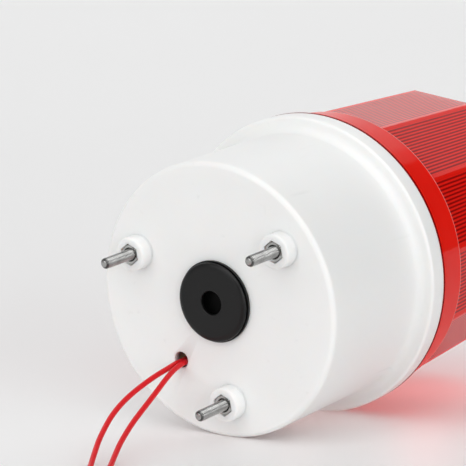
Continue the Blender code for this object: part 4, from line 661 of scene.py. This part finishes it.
def strand_finish(colour):
    """Tinned strands, bright on their crowns, with painted shade darkening them between one another."""
    dark, light = shaded(colour, 0.8), shaded(colour, 1.1)
    finish, tree, shader, tone, _ = grained("tinned_copper", dark, light, (0.22, 0.36), 3000.0, 500.0)
    # Painted shade: by the crest mark, the colour falls to about a third between the strands.
    strand_shaded_tin = mixed(tree, attribute(tree, "crest"), shaded(colour, 0.35), tone)
    set_inputs(tree, shader, {"Base Color": strand_shaded_tin, "Metallic": 1.0})
    return finish


def glass_finish():
    """Clear lamp glass with faint smears."""
    smeared, clean = (0.93, 0.95, 0.95, 1.0), (0.98, 0.98, 0.97, 1.0)
    finish, tree, shader, _, _ = grained("lamp_glass", smeared, clean, (0.02, 0.07), 300.0, 120.0)
    set_inputs(tree, shader, {"Transmission Weight": 0.95, "IOR": 1.5})
    return finish


def mirror_finish(colour):
    """Vacuum-plated mirror with faint haze."""
    dark, light = shaded(colour, 0.95), shaded(colour, 1.0)
    finish, tree, shader, _, _ = grained("mirror_chrome", dark, light, (0.05, 0.12), 1200.0, 60.0)
    set_inputs(tree, shader, {"Metallic": 1.0})
    return finish


def board_finish(colour):
    """Circuit board with copper tracks under green lacquer of an even colour."""
    finish, tree, shader, lacquer, _ = grained("board_green", colour, colour, (0.25, 0.42), 1500.0, 60.0)
    cells = {"Vector": add_node(tree, "ShaderNodeTexCoord")["Object"], "Scale": 260.0, "Randomness": 0.55}
    far = add_node(tree, "ShaderNodeTexVoronoi", cells, distance="CHEBYCHEV", feature="F1")["Distance"]
    track = ranged(tree, far, 1.0, 0.0, 0.30, 0.34)
    tone = mixed(tree, track, lacquer, shaded(colour, 2.1))
    set_inputs(tree, shader, {"Base Color": tone, "Normal": bump(tree, track, 0.00003)})
    return finish


def build_floor(settings):
    """A flat floor that fills the view, with a faint cloudiness in its paint."""
    count = 25
    side = np.linspace(-settings.floor_reach, settings.floor_reach, count)
    grid = np.stack(np.meshgrid(side, side, indexing="ij") + [np.zeros((count, count))], axis=-1)
    mesh = mesh_of("floor", [grid[:, ::-1]])
    colour = settings.floor_colour
    dark, light = shaded(colour, 0.992), shaded(colour, 1.008)
    finish, tree, shader, _, _ = grained("floor_paint", dark, light, (0.42, 0.50), 40.0, 1.3)
    set_inputs(tree, shader, {"Specular IOR Level": 0.25})
    mesh.materials.append(finish)
    floor = object_of("floor", mesh)
    if sum(polygon.normal.z for polygon in mesh.polygons) < 0:
        mesh.flip_normals()
    return floor


def build_world(settings):
    """Pale studio surround, and a plain backdrop for the camera.

    Soft light is even but for a dark card behind the beacon on its right. Gloss sees that card with a grey
    halo round it, a dim front and right side, a brighter left side and a light box above the front. Each is a
    smooth step of the cosine between the way seen and a direction, or of one coordinate of the way.
    """
    world = bpy.data.worlds.new("studio")
    bpy.context.scene.world = world
    world.use_nodes = True
    tree = world.node_tree
    tree.nodes.clear()
    way = add_node(tree, "ShaderNodeTexCoord")["Generated"]
    split = add_node(tree, "ShaderNodeSeparateXYZ", {"Vector": way})
    to_card, to_box = (
        add_node(tree, "ShaderNodeVectorMath", {0: way, 1: tuple(aim)}, operation="DOT_PRODUCT")["Value"]
        for aim in (unit(np.array((0.583, 0.755, 0.30))), (0.3914, -0.4404, 0.8080))
    )
    card, halo, front, right, left, box = (
        ranged(tree, value, low, high, start, end, "SMOOTHSTEP")
        for value, start, end, low, high in (
            (to_card, 0.865, 0.885, 1.0, 0.03),
            (to_card, 0.77, 0.84, 1.0, 0.5),
            (split["Y"], -0.55, 0.15, 0.30, 1.1),
            (split["X"], 0.62, 0.84, 1.0, 0.3),
            (split["X"], -0.45, -0.10, 1.25, 1.0),
            (to_box, 0.76, 0.92, 0.0, 1.2),
        )
    )
    gloss = card
    for part in (halo, front, right, left):
        gloss = calculated(tree, "MULTIPLY", gloss, part)
    gloss = calculated(tree, "ADD", gloss, box)
    soft = calculated(tree, "MULTIPLY", card, 0.58)
    backdrop = tuple(settings.backdrop_colour)
    lit, mirrored, seen = (
        add_node(tree, "ShaderNodeBackground", {"Color": colour, "Strength": strength})[0]
        for colour, strength in (((1.0, 1.0, 1.0, 1.0), soft), (backdrop, gloss), (backdrop, 1.0))
    )
    surround = chosen(tree, "Is Glossy Ray", lit, mirrored)
    for ray in ("Is Transmission Ray", "Is Camera Ray"):
        surround = chosen(tree, ray, surround, seen)
    tree.links.new(surround, tree.nodes.new("ShaderNodeOutputWorld").inputs["Surface"])


def add_lamp(name, kind, power, place):
    """A lamp of one kind at a place, and the object that holds it."""
    lamp = bpy.data.lights.new(name, kind)
    lamp.energy = power
    holder = object_of(name, lamp)
    holder.location = place
    return lamp, holder


def add_soft_sun(name, away, spread, strength):
    """A broad lamp far away that shines from a direction, the same all over the floor."""
    lamp, holder = add_lamp(name, "SUN", strength, away)
    lamp.angle = math.radians(spread)
    level = math.hypot(away[0], away[1])
    holder.rotation_euler = (math.atan2(level, away[2]), 0.0, math.atan2(away[0], -away[1]))


def add_floor_glow(name, place, power, colour, floor):
    """Light that falls through the plastic: a small lamp inside the beacon that reaches only the floor."""
    lamp, holder = add_lamp(name, "POINT", power, place)
    lamp.color = colour
    lamp.shadow_soft_size = 0.01
    lamp.use_shadow = False
    lit = bpy.data.collections.new(name)
    lit.objects.link(floor)
    holder.light_linking.receiver_collection = lit


def build_camera():
    """The camera at the photograph's distance, height and angle."""
    lens = bpy.data.cameras.new("camera")
    lens.lens = 205.86
    lens.sensor_width = 36.0
    lens.clip_start = 0.05
    lens.clip_end = 60.0
    camera = object_of("camera", lens)
    camera.location = (0.57959, -0.85614, 0.21904)
    camera.rotation_euler = (math.radians(81.80), 0.0, math.radians(35.944))
    bpy.context.scene.camera = camera


class BEACON_OT_stage(bpy.types.Operator):
    """Make the floor, the studio light and the camera"""

    bl_idname = "beacon.stage"
    bl_label = "Stage"

    def execute(self, context):
        settings = context.scene.beacon_stage
        floor = build_floor(settings)
        build_world(settings)
        add_soft_sun("front_light", (-0.25, -1.0, 0.42), 45.0, 0.55)
        add_soft_sun("side_light", (1.0, -0.42, 0.03), 50.0, 1.48)
        add_soft_sun("key_light", (0.35, -0.60, 1.0), 60.0, 0.62)
        add_soft_sun("back_light", (-0.30, 0.75, 1.0), 25.0, 0.15)
        add_floor_glow("lens_glow", (0.014, 0.056, 0.042), 0.031, (1.0, 0.32, 0.32), floor)
        add_floor_glow("base_glow", (0.006, -0.020, 0.024), 0.0068, (1.0, 0.74, 0.72), floor)
        build_camera()
        context.scene.view_settings.view_transform = "Standard"
        return {"FINISHED"}


def lead_lines(side, route, radius):
    """Where a lead leaves its hole, and its whole line: out of the hole, down the route and into its coil."""
    drop, spread, shift, straight = 0.0010, 0.0012, 0.00025, 0.0016
    free_spacing, path_spacing = 0.0012, 0.0010
    leave = to_floor(LEAD_HOLE + (shift + side * spread, drop, 0.0))
    starts = (leave - LENSWARD * SEAT_GAP / 2, leave - LENSWARD * straight)
    free = smooth_line(np.vstack((starts, route)), free_spacing)
    free[:, 2] = np.maximum(free[:, 2], radius + FLOOR_GAP)
    heading = unit(free[-1] - free[-2])
    coil = coil_line(free[-1] + heading * SEAT_GAP, heading, side, radius)
    return leave, evenly_spaced(np.vstack((free, coil)), path_spacing)


def strand_grid(path, settings):
    """The bare core on from the end of a lead: seven twisted strands, whose crest mark is their swelling."""
    spacing, round_share, swell = 0.0002, 0.2, 0.10
    tail = unit(path[-1] - path[-2])
    end = path[-1] + tail * (SEAT_GAP + settings.stripped_length)
    core = evenly_spaced(np.vstack((path[-1], end)), spacing)
    line, radii = closed_ends(core, settings.core_radius, round_share)
    grid = tube(line, radii, 42, swell=swell, lobes=7, twist=900.0)
    away = np.linalg.norm(grid - line[:, None, :], axis=-1)
    return grid, np.clip((away / settings.core_radius - (1 - swell)) / (2 * swell), 0.0, 1.0)


class BEACON_OT_leads(bpy.types.Operator):
    """Make the two supply leads with their coils and stripped ends"""

    bl_idname = "beacon.leads"
    bl_label = "Supply leads"

    def execute(self, context):
        settings = context.scene.beacon_leads
        insulation = insulation_finish(settings.colour)
        strands = strand_finish(settings.core_colour)
        for name, side, route in (("left", -1, LEFT_ROUTE), ("right", 1, RIGHT_ROUTE)):
            leave, path = lead_lines(side, route, settings.radius)
            mesh = mesh_of(f"lead_{name}", [tube(*closed_ends(path, settings.radius, 0.35), 18)])
            nodes = (f"supply_lead_{name}", f"supply_coil_{name}")
            lead = piece_of(f"lead_{name}", mesh, insulation, "base", "lead_red", *nodes)
            grid, crest = strand_grid(path, settings)
            mesh = mesh_of(f"core_{name}", [grid], sharp=80.0, crest=[crest])
            end = piece_of(f"core_{name}", mesh, strands, "base", "tinned_copper", f"stripped_end_{name}")
            tuple(leave)
            float(walked_lengths(path)[-1]) + settings.stripped_length
            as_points(path)
        return {"FINISHED"}


def shell_outline(settings):
    """Half section of the housing: face, rounded edge, side, hollow fillet, flange, rim, socket and bore."""
    radius, rounding, height = settings.face_radius, settings.face_round, settings.height
    flange, fillet, corner, lip = settings.flange_radius, settings.flange_fillet, 0.0012, 0.0006
    opening, edge_ring, face_ring = 0.0135, 0.0140, 0.0300
    face_wall, inner_round, hair = 0.0030, 0.0010, 0.0002
    rim_width, socket_depth = 0.0021, 0.0050
    land = height - settings.flange_land
    wall_end = land - corner - fillet
    bore, socket, seat = radius - settings.wall, flange - rim_width, height - socket_depth
    return section(
        (opening, 0.0),
        (edge_ring, 0.0),
        (face_ring, 0.0),
        (radius - rounding - hair, 0.0),
        arc((radius - rounding, rounding), rounding, -90, 0, 12),
        (radius, rounding + hair),
        (radius, wall_end - hair),
        arc((radius + fillet, wall_end), fillet, 180, 90, 14),
        (radius + fillet + hair, wall_end + fillet),
        arc((flange - corner, land), corner, -90, 0, 10),
        (flange, land + hair),
        (flange, height - lip - hair),
        arc((flange - lip, height - lip), lip, 0, 90, 8),
        (flange - lip - hair, height),
        (socket + hair, height),
        arc((socket + hair, height - hair), hair, 90, 180, 3),
        (socket, seat + hair),
        (socket, seat),
        (bore, seat),
        (bore, seat - hair),
        (bore, face_wall + inner_round),
        arc((bore - inner_round, face_wall + inner_round), inner_round, 0, -90, 4),
        (edge_ring, face_wall),
        (opening, face_wall),
        (opening, 0.0),
    )


def drill_outline():
    """Half section of the lead hole's drill, which widens to a chamfer and on above the face."""
    hole, chamfer, above, through = 0.00315, 0.00035, 0.0020, 0.0050
    wide = hole + chamfer + above
    return section((0.0, -above), (wide, -above), (hole, chamfer), (hole, through), (0.0, through))


def boss_grid(radius, inside, place, turn):
    """A round boss with a hexagon recess: a circle outside, a hexagon inside, and a bore down to a level."""
    top, foot, hair, rounding, bore, mouth_share = -BOSS_HEIGHT, 0.0003, 0.0001, 0.0010, 0.0023, 1.03
    seat = top + NUT_INSET + NUT_HEIGHT + SEAT_GAP
    turns = full_turn(96, turn)
    outside = section(
        (radius + foot + hair, foot),
        (radius + foot, -hair),
        arc((radius + foot, -foot - hair), foot, 90, 180, 3),
        (radius, -2 * foot),
        (radius, top + rounding + hair),
        arc((radius - rounding, top + rounding), rounding, 0, -90, 8),
    )
    recess = section((mouth_share, top), (1.0, top + hair), (1.0, top + foot), (1.0, seat))
    floor = section((bore, seat), (bore, inside), (radius - rounding, inside), outside[0])
    width = hexagon(NUT_ACROSS_FLATS, turns, turn, SEAT_GAP)
    return np.concatenate((lathe(outside, turns), lathe(recess, turns, width), lathe(floor, turns))) + place


def post_grid(radius, low, high, place):
    """A round post with a pilot hole in its end."""
    bore, depth, rounding, chamfer = 0.0015, 0.0065, 0.0003, 0.0002
    outline = section(
        (0.0, low),
        (radius, low),
        (radius, high - rounding),
        (radius - rounding, high),
        (bore + chamfer, high),
        (bore, high - chamfer),
        (bore, high - depth),
        (0.0, high - depth),
    )
    return lathe(outline, full_turn(28)) + place


def arc_block_grid(inner, outer, low, high, start, sweep):
    """A block along part of a ring: a rectangle carried over the sweep, with its ends closed to a point."""
    turns = start + sweep * np.linspace(0.0, 1.0, 17)
    corners = np.array([(inner, low), (outer, low), (outer, high), (inner, high), (inner, low)])
    grid = lathe(corners, turns).transpose(1, 0, 2)
    ends = [np.broadcast_to(corner.mean(axis=0), (1, *corner.shape)) for corner in (grid[0], grid[-1])]
    return np.concatenate((ends[0], grid, ends[1]))


def tab_grids(settings):
    """The tabs that hold the lens's lugs: over each lug a ledge on the bore, and below its start a stop."""
    bore = settings.face_radius - settings.wall
    ledge_depth, ledge_height, stop_height, overlap = 0.0070, 0.0022, 0.0027, 0.0002
    stop_sweep = math.radians(4)
    ledge_top = settings.height - ledge_depth
    low = ledge_top - ledge_height - stop_height + overlap
    inner, outer = bore - LUG_DEPTH, bore + LUG_ROOT
    for turn in STUD_ANGLES:
        start = turn - LUG_SWEEP / 2 - SEAT_GAP / bore - stop_sweep
        sweep = turn + LUG_SWEEP / 2 - start
        yield arc_block_grid(inner, outer, ledge_top - ledge_height, ledge_top, start, sweep)
        yield arc_block_grid(inner, outer, low, low + stop_height, start, stop_sweep)


def drilled(context, mesh, drill):
    """A mesh less the space of another, as a new mesh."""
    body, cutter = object_of("shell", mesh), object_of("drill", drill)
    boolean = body.modifiers.new("lead_hole", "BOOLEAN")
    boolean.operation = "DIFFERENCE"
    boolean.solver = "EXACT"
    boolean.object = cutter
    context.view_layer.update()
    made = bpy.data.meshes.new_from_object(body.evaluated_get(context.evaluated_depsgraph_get()))
    for helper in (body, cutter):
        bpy.data.objects.remove(helper, do_unlink=True)
    return made


class BEACON_OT_housing(bpy.types.Operator):
    """Make the white base housing with its bosses, pillars and tabs"""

    bl_idname = "beacon.housing"
    bl_label = "Base housing"

    def execute(self, context):
        settings = context.scene.beacon_housing
        shell = mesh_of("shell", [to_floor(lathe(shell_outline(settings), full_turn(240)))], sharp=50.0)
        drill = mesh_of("drill", [to_floor(lathe(drill_outline(), full_turn(64)) + LEAD_HOLE)])
        housing = drilled(context, shell, drill)
        inside = 0.0025
        grids = [
            boss_grid(settings.boss_radius, inside, spot, turn)
            for turn, spot in zip(STUD_ANGLES, ring_places(STUD_CIRCLE, STUD_ANGLES))
        ]
        for spot in ring_places(PILLAR_CIRCLE, PILLAR_ANGLES):
            grids.append(post_grid(PILLAR_RADIUS, inside, PILLAR_TOP, spot))
        for spot in ring_places(POST_CIRCLE, POST_ANGLES):
            grids.append(post_grid(POST_RADIUS, inside, POST_TOP, spot))
        grids.extend(tab_grids(settings))
        details = mesh_of("details", [to_floor(grid) for grid in grids], sharp=40.0)
        joined = bmesh.new()
        joined.from_mesh(housing)
        joined.from_mesh(details)
        joined.to_mesh(housing)
        joined.free()
        housing.name = "housing"
        piece_of("housing", housing, housing_finish(settings.colour), "base", "white_housing", "base_housing")
        return {"FINISHED"}


def thread_grid(settings, low, high):
    """A threaded rod with its crest mark, pointed at its low end.

    The radius follows a rounded sawtooth of the level in pitches plus the turn, and the point's radius grows
    as the level does.
    """
    depth, pitch, radius, point = 0.00036, settings.pitch, settings.radius, 0.0009
    steepness, flat_share, point_crest = 2.6, 0.15, 0.8
    levels = np.arange(low, high, pitch / 9)
    turns = full_turn(36)
    wave = np.mod(levels[:, None] / pitch + turns[None, :] / (2 * math.pi), 1.0)
    tooth = np.clip(np.abs(wave - 0.5) * steepness - flat_share, 0.0, 1.0)
    away = np.minimum(radius - depth * (1 - tooth), radius - point + (levels - low)[:, None])
    away = np.vstack((np.zeros_like(away[:1]), away, away[-1:], np.zeros_like(away[:1])))
    levels = np.concatenate(([low], levels, [high], [high]))
    crest = np.clip((away - (radius - depth)) / depth, 0.0, 1.0)
    crest[:2] = point_crest
    return turned(away, turns, levels[:, None]), crest


def bolt_head_grid(across_flats, low):
    """The stud's hexagon head inside the face: a lathe section whose radii are shares of the hexagon's."""
    high, hair, low_share = 0.0061, 0.0002, 0.96
    chamfer, high_share = 0.0003, 0.95
    turns = full_turn(96)
    outline = section(
        (0.0, low),
        (low_share, low),
        (1.0, low + hair),
        (1.0, high - chamfer),
        (high_share, high),
        (0.0, high),
    )
    return lathe(outline, turns, hexagon(across_flats, turns, 0.0))


def nut_grid(settings, turn):
    """A hexagon nut: a six-sided outline with its corners turned down, and a countersunk bore."""
    bore, sink, sink_depth, hair = 0.0022, 0.0028, 0.0005, 0.0001
    chamfer_share, slope_share, seat_share = 1.02, 0.5, 0.94
    turns = full_turn(96, turn)
    low = NUT_INSET - BOSS_HEIGHT
    high = low + settings.nut_height
    flat = hexagon(settings.across_flats, turns, turn)
    chamfer = np.minimum(flat, settings.across_flats / 2 * chamfer_share)
    slope = (flat - chamfer) * slope_share
    rings = (
        (flat, high - slope),
        (flat, low + slope + hair),
        (chamfer, low),
        (chamfer * seat_share, low),
        (sink, low),
        (bore, low + sink_depth),
        (bore, high),
        (chamfer, high),
        (flat, high - slope),
    )
    return np.array([turned(away, turns, level) for away, level in rings])


class BEACON_OT_studs(bpy.types.Operator):
    """Make the three threaded studs and their nuts"""

    bl_idname = "beacon.studs"
    bl_label = "Studs and nuts"

    def execute(self, context):
        settings = context.scene.beacon_studs
        finish = thread_finish(settings.colour)
        head_low, rod_root = 0.0033, 0.0006
        spots = ring_places(STUD_CIRCLE, STUD_ANGLES)
        for number, (turn, spot) in enumerate(zip(STUD_ANGLES, spots), start=1):
            rod, crest = thread_grid(settings, -settings.reach, head_low + rod_root)
            head = bolt_head_grid(settings.across_flats, head_low)
            nut = nut_grid(settings, turn)
            for name, node, grids, crests, sharp in (
                (f"stud_{number}", f"mounting_stud_{number}", (rod, head), (crest, 1.0), 50.0),
                (f"nut_{number}", f"stud_nut_{number}", (nut,), (1.0,), 25.0),
            ):
                mesh = mesh_of(name, [to_floor(grid + spot) for grid in grids], sharp=sharp, crest=crests)
                piece_of(name, mesh, finish, "base", "zinc_steel", node)
        return {"FINISHED"}


def cover_outline(settings):
    """Half section of the sounder's cover: sound hole, front, round bevel, flange on the face and barrel."""
    radius, front, bevel = settings.radius, -settings.proud, settings.bevel
    hole, edge, hair = settings.hole_radius, 0.0003, 0.0001
    groove, flange, barrel, bore, ledge = 0.0144, 0.0157, 0.0132, 0.0118, 0.0108
    cover_back, flange_front, ledge_level, barrel_end = -0.0017, -0.0012, 0.0012, 0.0090
    front_wall = 0.0014
    return section(
        (hole, front + edge + 2 * hair),
        arc((hole + edge, front + edge), edge, 180, 270, 4),
        (hole + edge + 2 * hair, front),
        (radius - bevel - 2 * hair, front),
        arc((0.0, 0.0), 1.0, -90, 0, 10) * (bevel, bevel / 2) + (radius - bevel, front + bevel / 2),
        (radius, cover_back - edge / 2),
        (radius - hair, cover_back),
        (groove, cover_back),
        (groove, flange_front),
        (flange - hair, flange_front),
        (flange, flange_front + hair),
        (flange, -SEAT_GAP),
        (barrel, -SEAT_GAP),
        (barrel, barrel_end),
        (bore, barrel_end),
        (bore, ledge_level),
        (ledge, ledge_level),
        (ledge, front + front_wall),
        (hole, front + front_wall),
        (hole, front + edge + 2 * hair),
    )


class BEACON_OT_sounder(bpy.types.Operator):
    """Make the black sounder cover in the mounting face"""

    bl_idname = "beacon.sounder"
    bl_label = "Sounder"

    def execute(self, context):
        settings = context.scene.beacon_sounder
        finish = plastic("black_plastic", settings.colour, (0.26, 0.34), 1600.0, mottle=0.12, shine=0.32)
        cover = to_floor(lathe(cover_outline(settings), full_turn(128)))
        mesh = mesh_of("sounder_cover", [cover], sharp=28.0)
        piece_of("sounder_cover", mesh, finish, "base", "black_plastic", "sounder_case")
        return {"FINISHED"}


def lens_turns(corner):
    """Angles round the lens, close together at the corners of its facets, and their shares across a facet."""
    near = np.array((0.0, 0.0006, 0.0014, 0.003, 0.01, 0.03))
    share = np.concatenate((near, np.linspace(0.05, 0.95, 19), 1 - near[:0:-1]))
    turns = (np.arange(FACET_COUNT)[:, None] + share[None, :]) * (2 * math.pi / FACET_COUNT)
    turns = np.concatenate((turns.reshape(-1), [2 * math.pi]))
    return corner + turns, np.concatenate((np.tile(share, FACET_COUNT), [1.0]))


def lens_runs(settings, plain, facet):
    """Half section of the lens in runs, each with its shape round the axis, its crest mark and its edge mark.

    They go up outside from the neck over the foot ring, the collar, the facets and the top with its shallow
    rings, and then down inside. The shape round the axis is plain, which is round, or that of the facets.
    """
    collar, top, level, wall = settings.collar_radius, settings.top, settings.collar_top, settings.wall
    neck, neck_low, collar_low = NECK_RADIUS, 0.0515, 0.0632
    foot, foot_low = 0.0590, 0.0661
    foot_height, foot_chamfer, foot_rise = 0.0009, 0.0002, 0.0005
    round_edge, round_start, shoulder, hair, rib_step = 0.0005, 0.0004, 0.0012, 0.0003, 0.00015
    ring_outer, ring_width, ring_slope, ring_depth = 0.0374, 0.0015, 0.0003, 0.0004
    middle, gate, flat_share = 0.0200, 0.0034, 0.82
    foot_top = foot_low + foot_height
    corner = collar - round_edge
    tip = corner - settings.taper
    thick = wall / math.cos(math.pi / FACET_COUNT)
    seat = section(
        (neck - wall, neck_low),
        (neck - hair, neck_low),
        (neck, neck_low + hair),
        (neck, collar_low),
        (collar - hair, collar_low),
        arc((collar - hair, collar_low + hair), hair, -90, 0, 3),
        (collar, foot_low),
        (foot, foot_low),
        (foot, foot_top - foot_chamfer),
        (foot - foot_chamfer, foot_top),
        (collar + hair, foot_top),
        (collar, foot_top + foot_rise),
    )
    side = section((collar, foot_top + foot_rise + foot_chamfer), (collar, level - round_edge - round_start))
    levels = np.linspace(level, top - shoulder, 9)
    radii = corner - settings.taper * (levels - level) / (top - shoulder - level)
    levels[0] += rib_step
    crown = section(
        (ring_outer, top),
        (ring_outer - ring_slope, top - ring_depth),
        (ring_outer - ring_width + ring_slope, top - ring_depth),
        (ring_outer - ring_width, top),
        (middle, top),
        (gate, top),
        (gate - ring_slope, top - hair),
        (0.0, top - hair),
    )
    inside = section(
        (collar - wall, level - wall),
        (collar - wall, collar_low + wall),
        (neck - wall, collar_low + wall),
        (neck - wall, neck_low),
    )
    # The seat run's crest mark of minus one paints it near black as a shadow line; an edge mark of one paints
    # a highlight.
    return (
        (seat, plain, -1.0, 0.0),
        (side, plain, 0.0, 0.0),
        (arc((corner, level - round_edge), round_edge, 0, 90, 8), plain, 0.0, 1.0),
        (section((corner, level)), facet, 0.0, 1.0),
        (np.column_stack((radii, levels)), facet, 1.0, 0.0),
        (arc((tip - shoulder, top - shoulder), shoulder, 0, 90, 6)[1:], facet, 0.0, 0.0),
        (section(((tip - shoulder) * flat_share, top)), facet, 0.0, 0.0),
        (crown, plain, 0.0, 0.0),
        (section((0.0, top - wall), (tip - thick, top - wall), (corner - thick, level)), facet, 0.0, 0.0),
        (inside, plain, 0.0, 0.0),
    )


class BEACON_OT_lens(bpy.types.Operator):
    """Make the red lens with its collar, facets, ribs and lugs"""

    bl_idname = "beacon.lens"
    bl_label = "Lens"

    def execute(self, context):
        settings = context.scene.beacon_lens
        first_corner = float(STUD_ANGLES[0])
        turns, across = lens_turns(first_corner)
        runs = lens_runs(settings, np.ones_like(turns), polygon_share(turns, FACET_COUNT, first_corner))
        outline = np.vstack([points for points, _, _, _ in runs])
        factors = np.vstack([np.tile(shape, (len(points), 1)) for points, shape, _, _ in runs])
        crest = np.concatenate([np.full(len(points), mark) for points, _, mark, _ in runs])
        edge = np.concatenate([np.full(len(points), mark) for points, _, _, mark in runs])
        grids = [lathe(outline, turns, factors)]
        along = surface_coordinates(grids[0])[:, :1, 1]
        coordinates = [np.stack(np.broadcast_arrays(across, along), axis=-1)]
        inner, outer, low = NECK_RADIUS - LUG_ROOT, NECK_RADIUS + LUG_DEPTH, LUG_TOP - LUG_HEIGHT
        for turn in STUD_ANGLES:
            grids.append(arc_block_grid(inner, outer, low, LUG_TOP, turn - LUG_SWEEP / 2, LUG_SWEEP))
            coordinates.append(np.zeros((*grids[-1].shape[:2], 2)))
        crests = [crest[:, None]] + [0.0] * len(STUD_ANGLES)
        edges = [edge[:, None]] + [0.0] * len(STUD_ANGLES)
        placed = [to_floor(grid) for grid in grids]
        mesh = mesh_of("lens_shell", placed, coordinates, 12.0, crest=crests, edge=edges)
        finish = lens_finish(settings.colour, settings.painted_groove_shade)
        piece_of("lens_shell", mesh, finish, "lens", "red_lens", "lens")
        return {"FINISHED"}


class BEACON_OT_inside(bpy.types.Operator):
    """Finish the reflector, the lamp, the drive and the board"""

    bl_idname = "beacon.inside"
    bl_label = "Inside"

    def execute(self, context):
        settings = context.scene.beacon_inside
        finishes = {
            "seal_rubber": plastic("seal_rubber", (0.030, 0.030, 0.030), (0.65, 0.85), 1200.0, 0.00004),
            "terminal_green": plastic("terminal_green", (0.03, 0.26, 0.09), (0.35, 0.48)),
            "brass": metal("brass", settings.brass_colour),
            "motor_steel": metal("motor_steel", (0.52, 0.53, 0.54), (0.28, 0.42)),
            "gear_nylon": plastic("gear_nylon", settings.nylon_colour, (0.38, 0.5), 1100.0, 0.00003),
            "tie_nylon": plastic("tie_nylon", (0.80, 0.80, 0.77), (0.4, 0.55), 1100.0, 0.00003),
            "board_green": board_finish(settings.board_colour),
            "mirror_chrome": mirror_finish(settings.mirror_colour),
            "lamp_glass": glass_finish(),
            "zinc_steel": metal("screw_steel", (0.62, 0.62, 0.60)),
            "lead_red": plastic("wire_red", (0.68, 0.02, 0.03), (0.25, 0.36), 1500.0, 0.00002, coat=0.2),
            "tinned_copper": metal("wire_tin", (0.74, 0.72, 0.68)),
        }
        # Painted shade: the brass diaphragm behind the sound hole is given a near-black finish, so the hole
        # reads as dark.
        hole_shade_finish = plastic("diaphragm_painted_shade", (0.002, 0.002, 0.002), (0.6, 0.8), shine=0.15)
        slots = {row["node"]: row["material_slot"] for row in frame["record"]["subparts"]}
        for name, node in frame["nodes"].items():
            finish = finishes.get(slots[name]) or bpy.data.materials[slots[name]]
            node.data.materials.clear()
            node.data.materials.append(hole_shade_finish if name == "sounder_diaphragm" else finish)
        return {"FINISHED"}


STEPS = (
    ("beacon_stage", BeaconStageSettings, BEACON_OT_stage),
    ("beacon_leads", BeaconLeadSettings, BEACON_OT_leads),
    ("beacon_housing", BeaconHousingSettings, BEACON_OT_housing),
    ("beacon_studs", BeaconStudSettings, BEACON_OT_studs),
    ("beacon_sounder", BeaconSounderSettings, BEACON_OT_sounder),
    ("beacon_lens", BeaconLensSettings, BEACON_OT_lens),
    ("beacon_inside", BeaconInsideSettings, BEACON_OT_inside),
)


class BEACON_PT_panel(bpy.types.Panel):
    """The beacon's pieces and their settings"""

    bl_idname = "BEACON_PT_panel"
    bl_label = "Warning beacon"
    bl_space_type = "VIEW_3D"
    bl_region_type = "UI"
    bl_category = "Beacon"

    def draw(self, context):
        for name, _, operator in STEPS:
            box = self.layout.box()
            box.label(text=operator.bl_label)
            settings = getattr(context.scene, name)
            for prop in settings.bl_rna.properties:
                if prop.identifier not in {"rna_type", "name"}:
                    box.prop(settings, prop.identifier)
            box.operator(operator.bl_idname)


def register():
    """Register the classes and give the scene their settings."""
    for name, group, operator in STEPS:
        bpy.utils.register_class(group)
        bpy.utils.register_class(operator)
        setattr(bpy.types.Scene, name, bpy.props.PointerProperty(type=group))
    bpy.utils.register_class(BEACON_PT_panel)


def unregister():
    """Take the settings and the classes away again."""
    bpy.utils.unregister_class(BEACON_PT_panel)
    for name, group, operator in reversed(STEPS):
        delattr(bpy.types.Scene, name)
        bpy.utils.unregister_class(operator)
        bpy.utils.unregister_class(group)


def main():
    """Build every piece in order."""
    register()
    bpy.ops.beacon.stage()
    bpy.ops.beacon.leads()
    bpy.ops.beacon.housing()
    bpy.ops.beacon.studs()
    bpy.ops.beacon.sounder()
    bpy.ops.beacon.lens()
    bpy.ops.beacon.inside()


if __name__ == "__main__":
    main()
